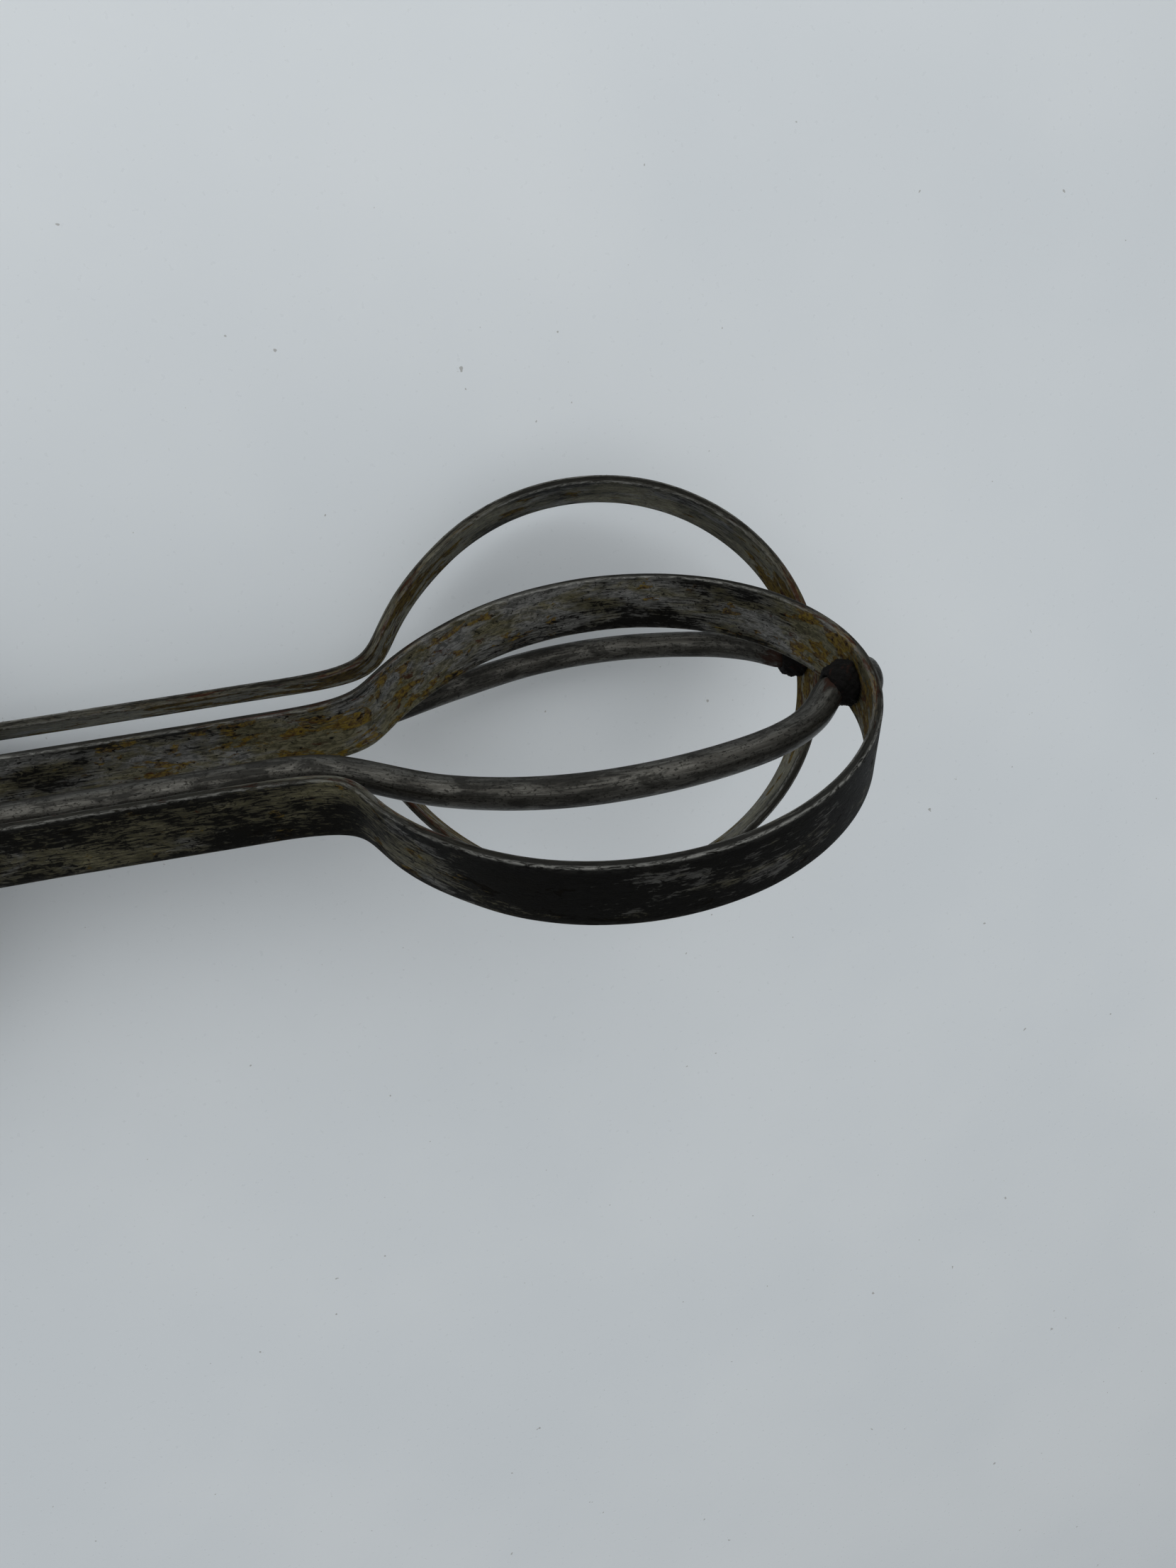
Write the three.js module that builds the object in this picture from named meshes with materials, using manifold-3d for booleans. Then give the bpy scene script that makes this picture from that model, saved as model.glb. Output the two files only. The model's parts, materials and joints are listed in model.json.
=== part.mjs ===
// Rotary hand beater with two geared strap dashers, lying on a table.
// Millimetres, +Z up, +X from the handle towards the dasher tips.
import * as THREE from 'three';
import { mergeVertices } from 'three/addons/utils/BufferGeometryUtils.js';
import Module from 'manifold-3d';

const wasm = await Module();
wasm.setup();

// ---- driving dimensions, measured along the beater from the dasher tips ----
const axisGap = 24.6;            // between the two dasher axes
const runGap = 0.3;              // air between pieces that touch or turn

const loopRadius = 35;           // half width of a strap loop
const loopHalfLength = 37.6;
const loopSweep = 128;           // degrees of the ellipse before the shoulder
const neckHalf = 8.4;            // strap centre line to dasher axis in the neck
const neckStart = -90.5;
const neckEnd = -149.4;
const strapWidth = 10.6;
const strapThick = 1.5;
const upperTurn = -67.8;         // rest angle of each loop about its axis, degrees
const lowerTurn = -19.5;
const lowerStep = 0.5;           // the lower dasher sits this much further out
const blockLength = 5.6;         // of the pinion block between the strap ends
const rivetInset = 2.8;          // strap rivets from the strap ends

const rodRadius = 2.36;
const shankRadius = 1.6;
const rodEnd = -171.1;            // inside the cross-head
// Bow of each fixed rod: place along the beater, outward rise, sideways set.
const upperBow = [
  [-80, 1.2, 0.6], [-64, 7.6, 4.4], [-48, 13.2, 5.4], [-32, 14.1, 5.2], [-16, 9.3, 4.5],
  [-9, 4.8, 3.2], [-5.1, 1.1, 1],
];
const lowerBow = [
  [-80, 1.2, 0.3], [-64, 8, 2.1], [-48, 13.6, 3.4], [-32, 14.3, 3.5], [-16, 9.6, 2.5],
  [-9, 5, 1.5], [-5.1, 1.2, 0.4],
];

const wheelX = -192;
const gearRadius = 36;           // mean radius of the tooth ring
const faceHalf = 3.5;
const wheelOuter = 41;
const wheelTeeth = 60;
const pinionTeeth = 10;
const pinionRadius = gearRadius * pinionTeeth / wheelTeeth;
const addendum = 0.96;
const dedendum = 1.2;
const pressure = 25 * Math.PI / 180;
const flankGap = 0.3;            // thinning of every tooth

const axleRadius = 3.5;
const prongThick = 6;
const prongWidth = 11;
const headInner = wheelX + 19.5;
const headOuter = wheelX + 29.5;
const headHalfWidth = 11;
const footDrop = 8.5;            // lower cross-head beyond its rod's axis
const headRise = 4.4;            // upper cross-head beyond its rod's axis
const crotchX = wheelX - 45;
const handleEnd = -320;
const handleHalfWidth = 20;
const handleBar = 8.5;
const handleHalfThick = 4.5;

const crankLength = 36;
const upperBoss = 5.6;           // the upper axle boss lifts the crank over its pinion
const lowerBoss = 1.6;
const crankThick = 3.2;
const knobLength = 30;

const halfGap = axisGap / 2;
const headMiddle = (headInner + headOuter) / 2;
const headDepth = (side) => (side > 0 ? headRise : footDrop);

// ---- materials ----
const looks = {
  tinned: { color: 0x6b6862, roughness: 0.5, metalness: 0.85 },
  iron: { color: 0x3a3836, roughness: 0.62, metalness: 0.7 },
  rod: { color: 0x4f4d4a, roughness: 0.42, metalness: 0.9 },
  wood: { color: 0x2b1d14, roughness: 0.45, metalness: 0.0 },
};

// ---- solid helpers ----
function solid(geometry) {
  const plain = geometry.clone();
  plain.deleteAttribute('normal');
  plain.deleteAttribute('uv');
  const welded = mergeVertices(plain, 1e-4);
  return new wasm.Manifold(new wasm.Mesh({
    numProp: 3,
    vertProperties: new Float32Array(welded.attributes.position.array),
    triVerts: new Uint32Array(welded.index.array),
  }));
}

function shell(manifold) {
  const mesh = manifold.getMesh();
  const geometry = new THREE.BufferGeometry();
  geometry.setAttribute('position', new THREE.BufferAttribute(mesh.vertProperties.slice(), 3));
  geometry.setIndex(new THREE.BufferAttribute(mesh.triVerts.slice(), 1));
  return geometry;
}

function join(first, ...others) {
  return others.reduce((sum, next) => sum.add(solid(next)), solid(first));
}

function cut(body, ...tools) {
  return tools.reduce((rest, tool) => rest.subtract(solid(tool)), body);
}

function box(x0, x1, y0, y1, z0, z1) {
  const geometry = new THREE.BoxGeometry(x1 - x0, y1 - y0, Math.abs(z1 - z0));
  return geometry.translate((x0 + x1) / 2, (y0 + y1) / 2, (z0 + z1) / 2);
}

function rodAlongX(radius, x0, x1, y, z, sides = 24) {
  const geometry = new THREE.CylinderGeometry(radius, radius, x1 - x0, sides);
  return geometry.rotateZ(-Math.PI / 2).translate((x0 + x1) / 2, y, z);
}

function rodAlongZ(radius, z0, z1, x, y, sides = 32) {
  const geometry = new THREE.CylinderGeometry(radius, radius, Math.abs(z1 - z0), sides);
  return geometry.rotateX(Math.PI / 2).translate(x, y, (z0 + z1) / 2);
}

function turned(profile, sides = 32) {
  const points = profile.map(([r, z]) => new THREE.Vector2(r, z));
  return new THREE.LatheGeometry(points, sides).rotateX(Math.PI / 2);
}

// A ring of rectangular section about Z.
function ring(inner, outer, z0, z1, sides = 32) {
  return turned([[inner, z0], [outer, z0], [outer, z1], [inner, z1], [inner, z0]], sides);
}

function plate(shape, depth, bevel = 0) {
  const geometry = new THREE.ExtrudeGeometry(shape, {
    depth: depth - 2 * bevel,
    bevelEnabled: bevel > 0,
    bevelThickness: bevel,
    bevelSize: bevel,
    bevelOffset: -bevel,
    bevelSegments: 1,
    curveSegments: 8,
  });
  return geometry.translate(0, 0, bevel);
}

// Shrinks a solid towards the point where the wheel axis meets a pinion axis,
// so that teeth taper like the teeth of a bevel gear. Sections are drawn at gearRadius.
function taperToApex(geometry, apexZ) {
  const position = geometry.attributes.position;
  for (let i = 0; i < position.count; i += 1) {
    const share = (position.getX(i) - wheelX) / gearRadius;
    position.setY(i, position.getY(i) * share);
    position.setZ(i, apexZ + (position.getZ(i) - apexZ) * share);
  }
  return geometry;
}

// ---- strap dashers ----
// Half of the loop's centre line, from the tip to the end of the neck.
function loopHalf() {
  const points = [];
  const last = loopSweep * Math.PI / 180;
  for (let i = 0; i <= 30; i += 1) {
    const angle = last * i / 30;
    points.push(new THREE.Vector2(
      loopHalfLength * (Math.cos(angle) - 1), loopRadius * Math.sin(angle)));
  }
  const end = points[points.length - 1];
  const run = new THREE.Vector2(-loopHalfLength * Math.sin(last), loopRadius * Math.cos(last));
  run.normalize();
  const shoulder = new THREE.CubicBezierCurve(
    end,
    new THREE.Vector2(end.x + 24 * run.x, end.y + 24 * run.y),
    new THREE.Vector2(neckStart + 21.7, neckHalf),
    new THREE.Vector2(neckStart, neckHalf));
  points.push(...shoulder.getPoints(18).slice(1));
  points.push(new THREE.Vector2(neckEnd, neckHalf));
  return points;
}

// The line moved sideways by the given distance, positive outwards.
function offsetLine(points, distance) {
  return points.map((point, i) => {
    const before = points[Math.max(i - 1, 0)];
    const after = points[Math.min(i + 1, points.length - 1)];
    const along = after.clone().sub(before).normalize();
    if (i === 0) along.set(0, 1);
    return new THREE.Vector2(point.x + along.y * distance, point.y - along.x * distance);
  });
}

function mirrored(points) {
  return points.slice(1).map((point) => new THREE.Vector2(point.x, -point.y)).reverse();
}

function strapSolid() {
  const half = loopHalf();
  const outer = offsetLine(half, strapThick / 2);
  const inner = offsetLine(half, -strapThick / 2);
  const outline = [
    ...mirrored(outer), ...outer,
    ...inner.slice().reverse(), ...mirrored(inner).reverse(),
  ];
  const band = plate(new THREE.Shape(outline), strapWidth).translate(0, 0, -strapWidth / 2);
  const rivetHole = rodAlongZ(1.8, -12, 12, neckEnd + rivetInset, 0, 16).rotateX(Math.PI / 2);
  return cut(solid(band), rodAlongX(shankRadius + runGap, -4, 4, 0, 0, 20), rivetHole);
}

// Involute tooth outline of the small pinion, thinned for free running.
function pinionShape() {
  const base = pinionRadius * Math.cos(pressure);
  const root = pinionRadius - dedendum;
  const tip = pinionRadius + addendum;
  const involute = (r) => {
    const a = Math.acos(Math.min(1, base / Math.max(r, base)));
    return Math.tan(a) - a;
  };
  const halfAtPitch = Math.PI / (2 * pinionTeeth) - flankGap / (2 * pinionRadius);
  const radii = [root, base, 5.75, pinionRadius, 6.35, 6.66, tip];
  const points = [];
  for (let tooth = 0; tooth < pinionTeeth; tooth += 1) {
    const centre = (tooth + 0.5) * 2 * Math.PI / pinionTeeth;
    const flank = radii.map((r) => [r, halfAtPitch + involute(pinionRadius) - involute(r)]);
    for (const [r, half] of flank) {
      points.push(new THREE.Vector2(r * Math.cos(centre - half), r * Math.sin(centre - half)));
    }
    for (const [r, half] of flank.reverse()) {
      points.push(new THREE.Vector2(r * Math.cos(centre + half), r * Math.sin(centre + half)));
    }
  }
  return new THREE.Shape(points);
}

// A pinion with its tooth gap towards the wheel and a block that takes the two strap ends.
function pinionSolid(side, turn, step) {
  const axisZ = side * halfGap;
  const teeth = plate(pinionShape(), 2 * faceHalf);
  teeth.applyMatrix4(new THREE.Matrix4().makeBasis(
    new THREE.Vector3(0, -side, 0),
    new THREE.Vector3(0, 0, -side),
    new THREE.Vector3(1, 0, 0)));
  teeth.rotateX(Math.PI / 2);
  teeth.translate(wheelX + gearRadius - faceHalf, 0, axisZ);
  taperToApex(teeth, axisZ);
  const collar = rodAlongX(4.2, wheelX + gearRadius - faceHalf - 1.2,
    wheelX + gearRadius - faceHalf + 1, 0, axisZ);
  const hub = rodAlongX(5.2, wheelX + gearRadius + faceHalf - 1, neckEnd + 2, 0, axisZ);
  const half = neckHalf - strapThick / 2 - runGap;
  const block = box(neckEnd - 0.4, neckEnd + blockLength, -half, half, -4.7, 4.7);
  block.rotateX(turn * Math.PI / 180).translate(0, 0, axisZ);
  const seats = rodAlongZ(1.5, -12, 12, neckEnd + rivetInset + step, 0, 16);
  seats.rotateX(Math.PI / 2).rotateX(turn * Math.PI / 180).translate(0, 0, axisZ);
  const bore = rodAlongX(rodRadius + runGap, -170, -130, 0, axisZ);
  return cut(join(teeth, collar, hub, block), bore, seats);
}

// Rivet that holds one strap end on the block; way is +1 or -1 for the strap's side.
function strapRivet(way) {
  const face = neckHalf + strapThick / 2 + 0.15;
  const body = turned([
    [0, rodRadius + runGap + 1], [1.2, rodRadius + runGap + 1], [1.2, face], [2.9, face],
    [2.6, face + 0.9], [1.6, face + 1.4], [0, face + 1.6],
  ], 16);
  return body.rotateX(-way * Math.PI / 2).translate(neckEnd + rivetInset, 0, 0);
}

function placeDasher(geometry, side, turn, step) {
  return geometry.rotateX(turn * Math.PI / 180).translate(step, 0, side * halfGap);
}

// ---- fixed spindle rods, bowed clear of the other loop ----
function spindleRod(side, bow, step) {
  const straight = [-150, -120, -96, -86].map((x) => [x, 0, 0]);
  const points = [[rodEnd - step, 0, 0], ...straight, ...bow].map(([x, rise, aside]) => (
    new THREE.Vector3(x + step, -side * aside, side * (halfGap + rise))));
  const section = new THREE.Shape();
  section.absarc(0, 0, rodRadius, 0, 2 * Math.PI);
  const wire = new THREE.ExtrudeGeometry(section, {
    steps: 38,
    curveSegments: 7,
    bevelEnabled: false,
    extrudePath: new THREE.CatmullRomCurve3(points, false, 'centripetal'),
  });
  const axisZ = side * halfGap;
  const face = strapThick / 2 + runGap;
  const shank = rodAlongX(shankRadius, step - 6, step + face + 1, 0, axisZ, 20);
  const end = points[points.length - 1];
  const shoulder = new THREE.SphereGeometry(rodRadius + 0.02, 20, 12);
  shoulder.translate(end.x, end.y, end.z);
  const head = turned([
    [0, face], [3.3, face], [3.2, face + 0.9], [2.4, face + 2], [1.2, face + 2.5], [0, face + 2.6],
  ], 24).rotateY(Math.PI / 2).translate(step, 0, axisZ);
  const whole = join(wire, shank, shoulder, head);
  return cut(whole, rodAlongZ(1.1, side * 2, side * 24, headMiddle, 0, 16));
}

function tipCollar(side, step) {
  const back = -strapThick / 2 - runGap;
  const geometry = ring(shankRadius + runGap, 3.9, back - 1.4, back, 20);
  return geometry.rotateY(Math.PI / 2).translate(step, 0, side * halfGap);
}

// ---- drive wheel with teeth on both faces ----
function crownTooth(side) {
  const pitchZ = side * (halfGap - pinionRadius);
  const halfPitch = Math.PI * pinionRadius / (2 * pinionTeeth) - flankGap / 2;
  const slope = Math.tan(pressure);
  const low = dedendum + 0.4;
  const wide = halfPitch + low * slope;
  const thin = halfPitch - addendum * slope;
  const section = new THREE.Shape([
    new THREE.Vector2(-wide, -low), new THREE.Vector2(wide, -low),
    new THREE.Vector2(thin, addendum), new THREE.Vector2(-thin, addendum),
  ]);
  const tooth = plate(section, 2 * faceHalf);
  tooth.applyMatrix4(new THREE.Matrix4().makeBasis(
    new THREE.Vector3(0, side, 0),
    new THREE.Vector3(0, 0, side),
    new THREE.Vector3(1, 0, 0)));
  tooth.translate(wheelX + gearRadius - faceHalf, 0, pitchZ);
  return taperToApex(tooth, side * halfGap).translate(-wheelX, 0, 0);
}

function driveWheel() {
  const rootAt = (r) => halfGap - r / gearRadius * (pinionRadius + dedendum);
  const rim = turned([
    [31.2, -rootAt(31.2)], [wheelOuter, -rootAt(wheelOuter)],
    [wheelOuter, rootAt(wheelOuter)], [31.2, rootAt(31.2)], [31.2, -rootAt(31.2)],
  ], wheelTeeth);
  const hub = turned([[0, -8.1], [8, -8.1], [9.2, -6.5], [9.2, 6.5], [8, 8.1], [0, 8.1]], 36);
  const rimHubSpokes = [rim, hub];
  const spoke = new THREE.Shape();
  spoke.moveTo(6, -4.6);
  spoke.bezierCurveTo(15, -2.2, 22, -2.4, 33, -5);
  spoke.lineTo(33, 5);
  spoke.bezierCurveTo(22, 2.4, 15, 2.2, 6, 4.6);
  for (let i = 0; i < 5; i += 1) {
    const arm = plate(spoke, 5, 0.8).translate(0, 0, -2.5);
    rimHubSpokes.push(arm.rotateZ((i + 0.5) * 2 * Math.PI / 5));
  }
  for (let i = 0; i < wheelTeeth; i += 1) {
    for (const side of [1, -1]) {
      rimHubSpokes.push(crownTooth(side).rotateZ(i * 2 * Math.PI / wheelTeeth));
    }
  }
  const whole = cut(join(...rimHubSpokes), rodAlongZ(axleRadius + runGap, -20, 20, 0, 0));
  return shell(whole).translate(wheelX, 0, 0);
}

// ---- frame: open loop handle, crotch, two prongs, axle bosses and cross-heads ----
function frameCasting() {
  const handle = new THREE.Shape();
  const handleX = crotchX - 7;
  const straightEnd = handleEnd + handleHalfWidth;
  handle.moveTo(handleX + 4, -8);
  handle.bezierCurveTo(handleX - 6, -9, handleX - 10, -handleHalfWidth,
    handleX - 24, -handleHalfWidth);
  handle.lineTo(straightEnd, -handleHalfWidth);
  handle.absarc(straightEnd, 0, handleHalfWidth, -Math.PI / 2, -3 * Math.PI / 2, true);
  handle.lineTo(handleX - 24, handleHalfWidth);
  handle.bezierCurveTo(handleX - 10, handleHalfWidth, handleX - 6, 9, handleX + 4, 8);
  handle.closePath();
  const grip = new THREE.Path();
  const inner = handleHalfWidth - handleBar;
  grip.moveTo(handleX - 17, 0);
  grip.bezierCurveTo(handleX - 17, inner * 0.6, handleX - 22, inner, handleX - 28, inner);
  grip.lineTo(straightEnd, inner);
  grip.absarc(straightEnd, 0, inner, Math.PI / 2, 3 * Math.PI / 2, false);
  grip.lineTo(handleX - 28, -inner);
  grip.bezierCurveTo(handleX - 22, -inner, handleX - 17, -inner * 0.6, handleX - 17, 0);
  handle.holes.push(grip);
  const loop = plate(handle, 2 * handleHalfThick, 1.6).translate(0, 0, -handleHalfThick);

  const crotch = new THREE.Shape();
  const outerZ = halfGap + prongThick / 2;
  crotch.moveTo(crotchX - 10, -5);
  crotch.lineTo(crotchX, -outerZ);
  crotch.lineTo(crotchX + 5, -outerZ);
  crotch.lineTo(crotchX + 5, -outerZ + prongThick);
  crotch.lineTo(crotchX + 3, 0);
  crotch.lineTo(crotchX + 5, outerZ - prongThick);
  crotch.lineTo(crotchX + 5, outerZ);
  crotch.lineTo(crotchX, outerZ);
  crotch.lineTo(crotchX - 10, 5);
  crotch.closePath();
  const yoke = plate(crotch, 16, 1).translate(0, 0, -8).rotateX(Math.PI / 2);

  const parts = [loop, yoke];
  const holes = [rodAlongZ(axleRadius + runGap, -40, 40, wheelX, 0)];
  for (const side of [1, -1]) {
    const outline = new THREE.Shape();
    outline.moveTo(crotchX + 2, -7);
    outline.bezierCurveTo(wheelX - 28, -4.5, wheelX - 20, -4.5, wheelX - 7, -9);
    outline.lineTo(wheelX + 7, -9);
    outline.bezierCurveTo(wheelX + 14, -5, wheelX + 15, -5, headInner + 2, -prongWidth / 2);
    outline.lineTo(headInner + 2, prongWidth / 2);
    outline.bezierCurveTo(wheelX + 15, 5, wheelX + 14, 5, wheelX + 7, 9);
    outline.lineTo(wheelX - 7, 9);
    outline.bezierCurveTo(wheelX - 20, 4.5, wheelX - 28, 4.5, crotchX + 2, 7);
    outline.closePath();
    const prong = plate(outline, prongThick, 1.2);
    parts.push(prong.translate(0, 0, side * halfGap - prongThick / 2));
    const bossInner = side * (halfGap - prongThick / 2);
    const bossOuter = side * (halfGap + prongThick / 2 + (side > 0 ? upperBoss : lowerBoss));
    parts.push(rodAlongZ(9.4, bossInner, bossOuter, wheelX, 0, 40));
    const inside = side * (halfGap - 4.6);
    const outside = side * (halfGap + headDepth(side));
    parts.push(box(headInner, headOuter, -headHalfWidth, headHalfWidth, inside, outside));
    holes.push(rodAlongX(rodRadius + runGap, headInner + 1, headOuter + 1, 0, side * halfGap));
    holes.push(rodAlongZ(1.1, side * 4, side * 24, headMiddle, 0, 16));
  }
  return cut(join(...parts), ...holes);
}

// Pin that crosses a cross-head and the rod in it.
function crossPin(side) {
  const low = side * (halfGap - 4.4);
  const high = side * (halfGap + headDepth(side) - 0.4);
  return rodAlongZ(0.8, low, high, headMiddle, 0, 16);
}

// ---- axle, crank and knob ----
const bossTop = halfGap + prongThick / 2 + upperBoss;
const bossFoot = halfGap + prongThick / 2 + lowerBoss;
const crankLow = bossTop + 1.2;
const crankHigh = crankLow + crankThick;
const knobX = wheelX - crankLength;

function axlePin() {
  return turned([
    [0, -bossFoot - 2.2], [3.4, -bossFoot - 2], [5, -bossFoot - 1], [5.2, -bossFoot - runGap],
    [axleRadius, -bossFoot - runGap], [axleRadius, crankLow - runGap],
    [2.6, crankLow - runGap], [2.6, crankHigh + 5.4], [1.9, crankHigh + 6], [0, crankHigh + 6],
  ]).translate(wheelX, 0, 0);
}

function crankArm() {
  const outline = new THREE.Shape();
  outline.moveTo(0, -7.5);
  outline.bezierCurveTo(-12, -7, -18, -4, -crankLength, -4.6);
  outline.absarc(-crankLength, 0, 4.6, -Math.PI / 2, -3 * Math.PI / 2, true);
  outline.bezierCurveTo(-18, 4, -12, 7, 0, 7.5);
  outline.absarc(0, 0, 7.5, Math.PI / 2, -Math.PI / 2, true);
  const bar = plate(outline, crankThick, 0.6).translate(wheelX, 0, crankLow);
  return cut(solid(bar),
    rodAlongZ(2.6 + runGap, crankLow - 5, crankHigh + 5, wheelX, 0),
    rodAlongZ(1.7 + runGap, crankLow - 5, crankHigh + 5, knobX, 0));
}

function crankNut() {
  const nut = new THREE.CylinderGeometry(6.2, 6.2, 4, 6).rotateX(Math.PI / 2);
  nut.translate(wheelX, 0, crankHigh + runGap + 2);
  return cut(solid(nut), rodAlongZ(2.6 + runGap, crankHigh - 5, crankHigh + 15, wheelX, 0));
}

function knobPin() {
  const top = crankHigh + 1.4 + knobLength;
  return turned([
    [0, crankLow - 1.6], [2, crankLow - 1.5], [3.2, crankLow - 0.5], [3.2, crankLow - runGap],
    [1.7, crankLow - runGap], [1.7, top + runGap], [3.4, top + runGap], [3.2, top + 1],
    [2, top + 1.6], [0, top + 1.7],
  ], 24).translate(knobX, 0, 0);
}

function crankKnob() {
  const low = crankHigh + 1.4;
  const bore = 1.7 + runGap;
  return turned([
    [bore, low], [4.8, low], [5.3, low + 1.2], [4.9, low + 4], [5.6, low + 8], [7.6, low + 14],
    [8.6, low + 19.5], [8.2, low + 24.5], [6.4, low + 28.4], [4.2, low + knobLength],
    [bore, low + knobLength], [bore, low],
  ]).translate(knobX, 0, 0);
}

// ---- assembly ----
const pieces = [];

function piece(name, look, geometry) {
  pieces.push([name, look, geometry.isBufferGeometry ? geometry : shell(geometry)]);
}

piece('frame_casting', 'iron', frameCasting());
piece('drive_wheel', 'iron', driveWheel());
piece('axle_pin', 'rod', axlePin());
for (const [label, side] of [['upper', 1], ['lower', -1]]) {
  const low = side > 0 ? 8.1 + 0.1 : -halfGap + prongThick / 2 + 0.1;
  piece(`axle_washer_${label}`, 'tinned',
    ring(axleRadius + runGap, 7.6, low, low + 0.45).translate(wheelX, 0, 0));
}
piece('crank_arm', 'iron', crankArm());
piece('crank_washer', 'tinned',
  ring(axleRadius + runGap, 7.2, bossTop + 0.2, bossTop + 0.8).translate(wheelX, 0, 0));
piece('crank_nut', 'rod', crankNut());
piece('knob_pin', 'rod', knobPin());
piece('knob_washer', 'tinned',
  ring(1.7 + runGap, 4.6, crankHigh + 0.35, crankHigh + 1.05, 24).translate(knobX, 0, 0));
piece('crank_knob', 'wood', crankKnob());

for (const [label, side, turn, bow, step] of [
  ['upper', 1, upperTurn, upperBow, 0], ['lower', -1, lowerTurn, lowerBow, lowerStep]]) {
  piece(`pinion_${label}`, 'iron', pinionSolid(side, turn, step));
  piece(`dasher_strap_${label}`, 'tinned', placeDasher(shell(strapSolid()), side, turn, step));
  piece(`strap_rivet_${label}_a`, 'rod', placeDasher(strapRivet(1), side, turn, step));
  piece(`strap_rivet_${label}_b`, 'rod', placeDasher(strapRivet(-1), side, turn, step));
  piece(`spindle_rod_${label}`, 'rod', spindleRod(side, bow, step));
  piece(`rod_pin_${label}`, 'rod', crossPin(side));
  piece(`tip_collar_${label}`, 'iron', tipCollar(side, step));
  const start = headOuter + 0.35;
  piece(`pinion_washer_${label}`, 'tinned',
    ring(rodRadius + runGap, 4.8, start, start + 0.6, 24).rotateY(Math.PI / 2)
      .translate(0, 0, side * halfGap));
}

// The beater rests on the lower cross-head and the far end of the handle.
const restTilt = Math.atan2(
  halfGap + footDrop - handleHalfThick, headOuter - (handleEnd + 1.6));
const group = new THREE.Group();
group.name = 'rotary_beater';
const lie = new THREE.Matrix4().makeRotationY(-restTilt);
const boxAll = new THREE.Box3();
for (const [, , geometry] of pieces) {
  geometry.applyMatrix4(lie);
  geometry.computeBoundingBox();
  boxAll.union(geometry.boundingBox);
}
const shift = new THREE.Vector3(
  -(boxAll.min.x + boxAll.max.x) / 2, -(boxAll.min.y + boxAll.max.y) / 2, -boxAll.min.z);
for (const [name, look, geometry] of pieces) {
  geometry.translate(shift.x, shift.y, shift.z);
  const mesh = new THREE.Mesh(geometry, new THREE.MeshStandardMaterial(looks[look]));
  mesh.name = name;
  group.add(mesh);
}

const atRest = (x, y, z) => new THREE.Vector3(x, y, z).applyMatrix4(lie).add(shift).toArray();
const turnRest = (x, y, z) => new THREE.Vector3(x, y, z).applyMatrix4(lie).toArray();
group.userData.joints = {
  z: turnRest(0, 0, 1),
  x: turnRest(1, 0, 0),
  w: atRest(wheelX, 0, 0),
  u: atRest(headOuter, 0, halfGap),
  l: atRest(headOuter, 0, -halfGap),
  k: atRest(knobX, 0, crankHigh),
};

export default group;
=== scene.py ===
import bpy
import bmesh
import json
import math
import numpy as np
from mathutils import Euler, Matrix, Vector


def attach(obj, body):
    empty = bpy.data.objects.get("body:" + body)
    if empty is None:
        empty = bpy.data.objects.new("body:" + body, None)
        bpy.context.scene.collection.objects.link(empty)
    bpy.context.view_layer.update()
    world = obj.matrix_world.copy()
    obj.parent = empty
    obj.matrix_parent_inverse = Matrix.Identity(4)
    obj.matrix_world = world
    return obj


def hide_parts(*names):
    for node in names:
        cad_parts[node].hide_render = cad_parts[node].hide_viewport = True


# Rotary hand beater lying on a pale table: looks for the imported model.
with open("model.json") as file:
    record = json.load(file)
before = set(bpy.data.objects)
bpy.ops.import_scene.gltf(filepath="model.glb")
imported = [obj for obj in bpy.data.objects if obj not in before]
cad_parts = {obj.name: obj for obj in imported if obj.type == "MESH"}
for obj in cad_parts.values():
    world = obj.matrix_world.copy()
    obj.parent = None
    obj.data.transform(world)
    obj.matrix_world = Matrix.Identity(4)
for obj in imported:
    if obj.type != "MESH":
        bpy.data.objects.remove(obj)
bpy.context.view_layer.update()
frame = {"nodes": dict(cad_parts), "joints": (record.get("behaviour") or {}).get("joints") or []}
mm = 0.001

# the beater's own space: x along the beater from the dasher tips, z square to the wheel
joints = {j["name"]: j for j in frame["joints"]}
beaterX = np.array(joints["dasher_upper_spin"]["axis"])
beaterZ = np.array(joints["wheel_spin"]["axis"])
beaterY = np.cross(beaterZ, beaterX)
wheelPlace = np.array(joints["wheel_spin"]["pos_m"])
wheelX = -192.0          # wheel centre, in the beater's own millimetres
shaftUp = float(np.dot(np.array(joints["dasher_upper_spin"]["pos_m"]) - wheelPlace, beaterZ)) / mm


def lay(points):
    # own millimetres (x, y, z) to metres in the row frame
    p = np.asarray(points, float)
    return wheelPlace + mm * ((p[..., :1] - wheelX) * beaterX + p[..., 1:2] * beaterY
                              + p[..., 2:3] * beaterZ)


def addMark(mesh, key, values, kind="FLOAT", field="value"):
    layer = mesh.attributes.new(key, kind, "POINT")
    layer.data.foreach_set(field, values.astype(np.float32).ravel())


def readAll(items, key, width, kind=float):
    values = np.empty(len(items) * width, kind)
    items.foreach_get(key, values)
    return values.reshape(-1, width)


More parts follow.
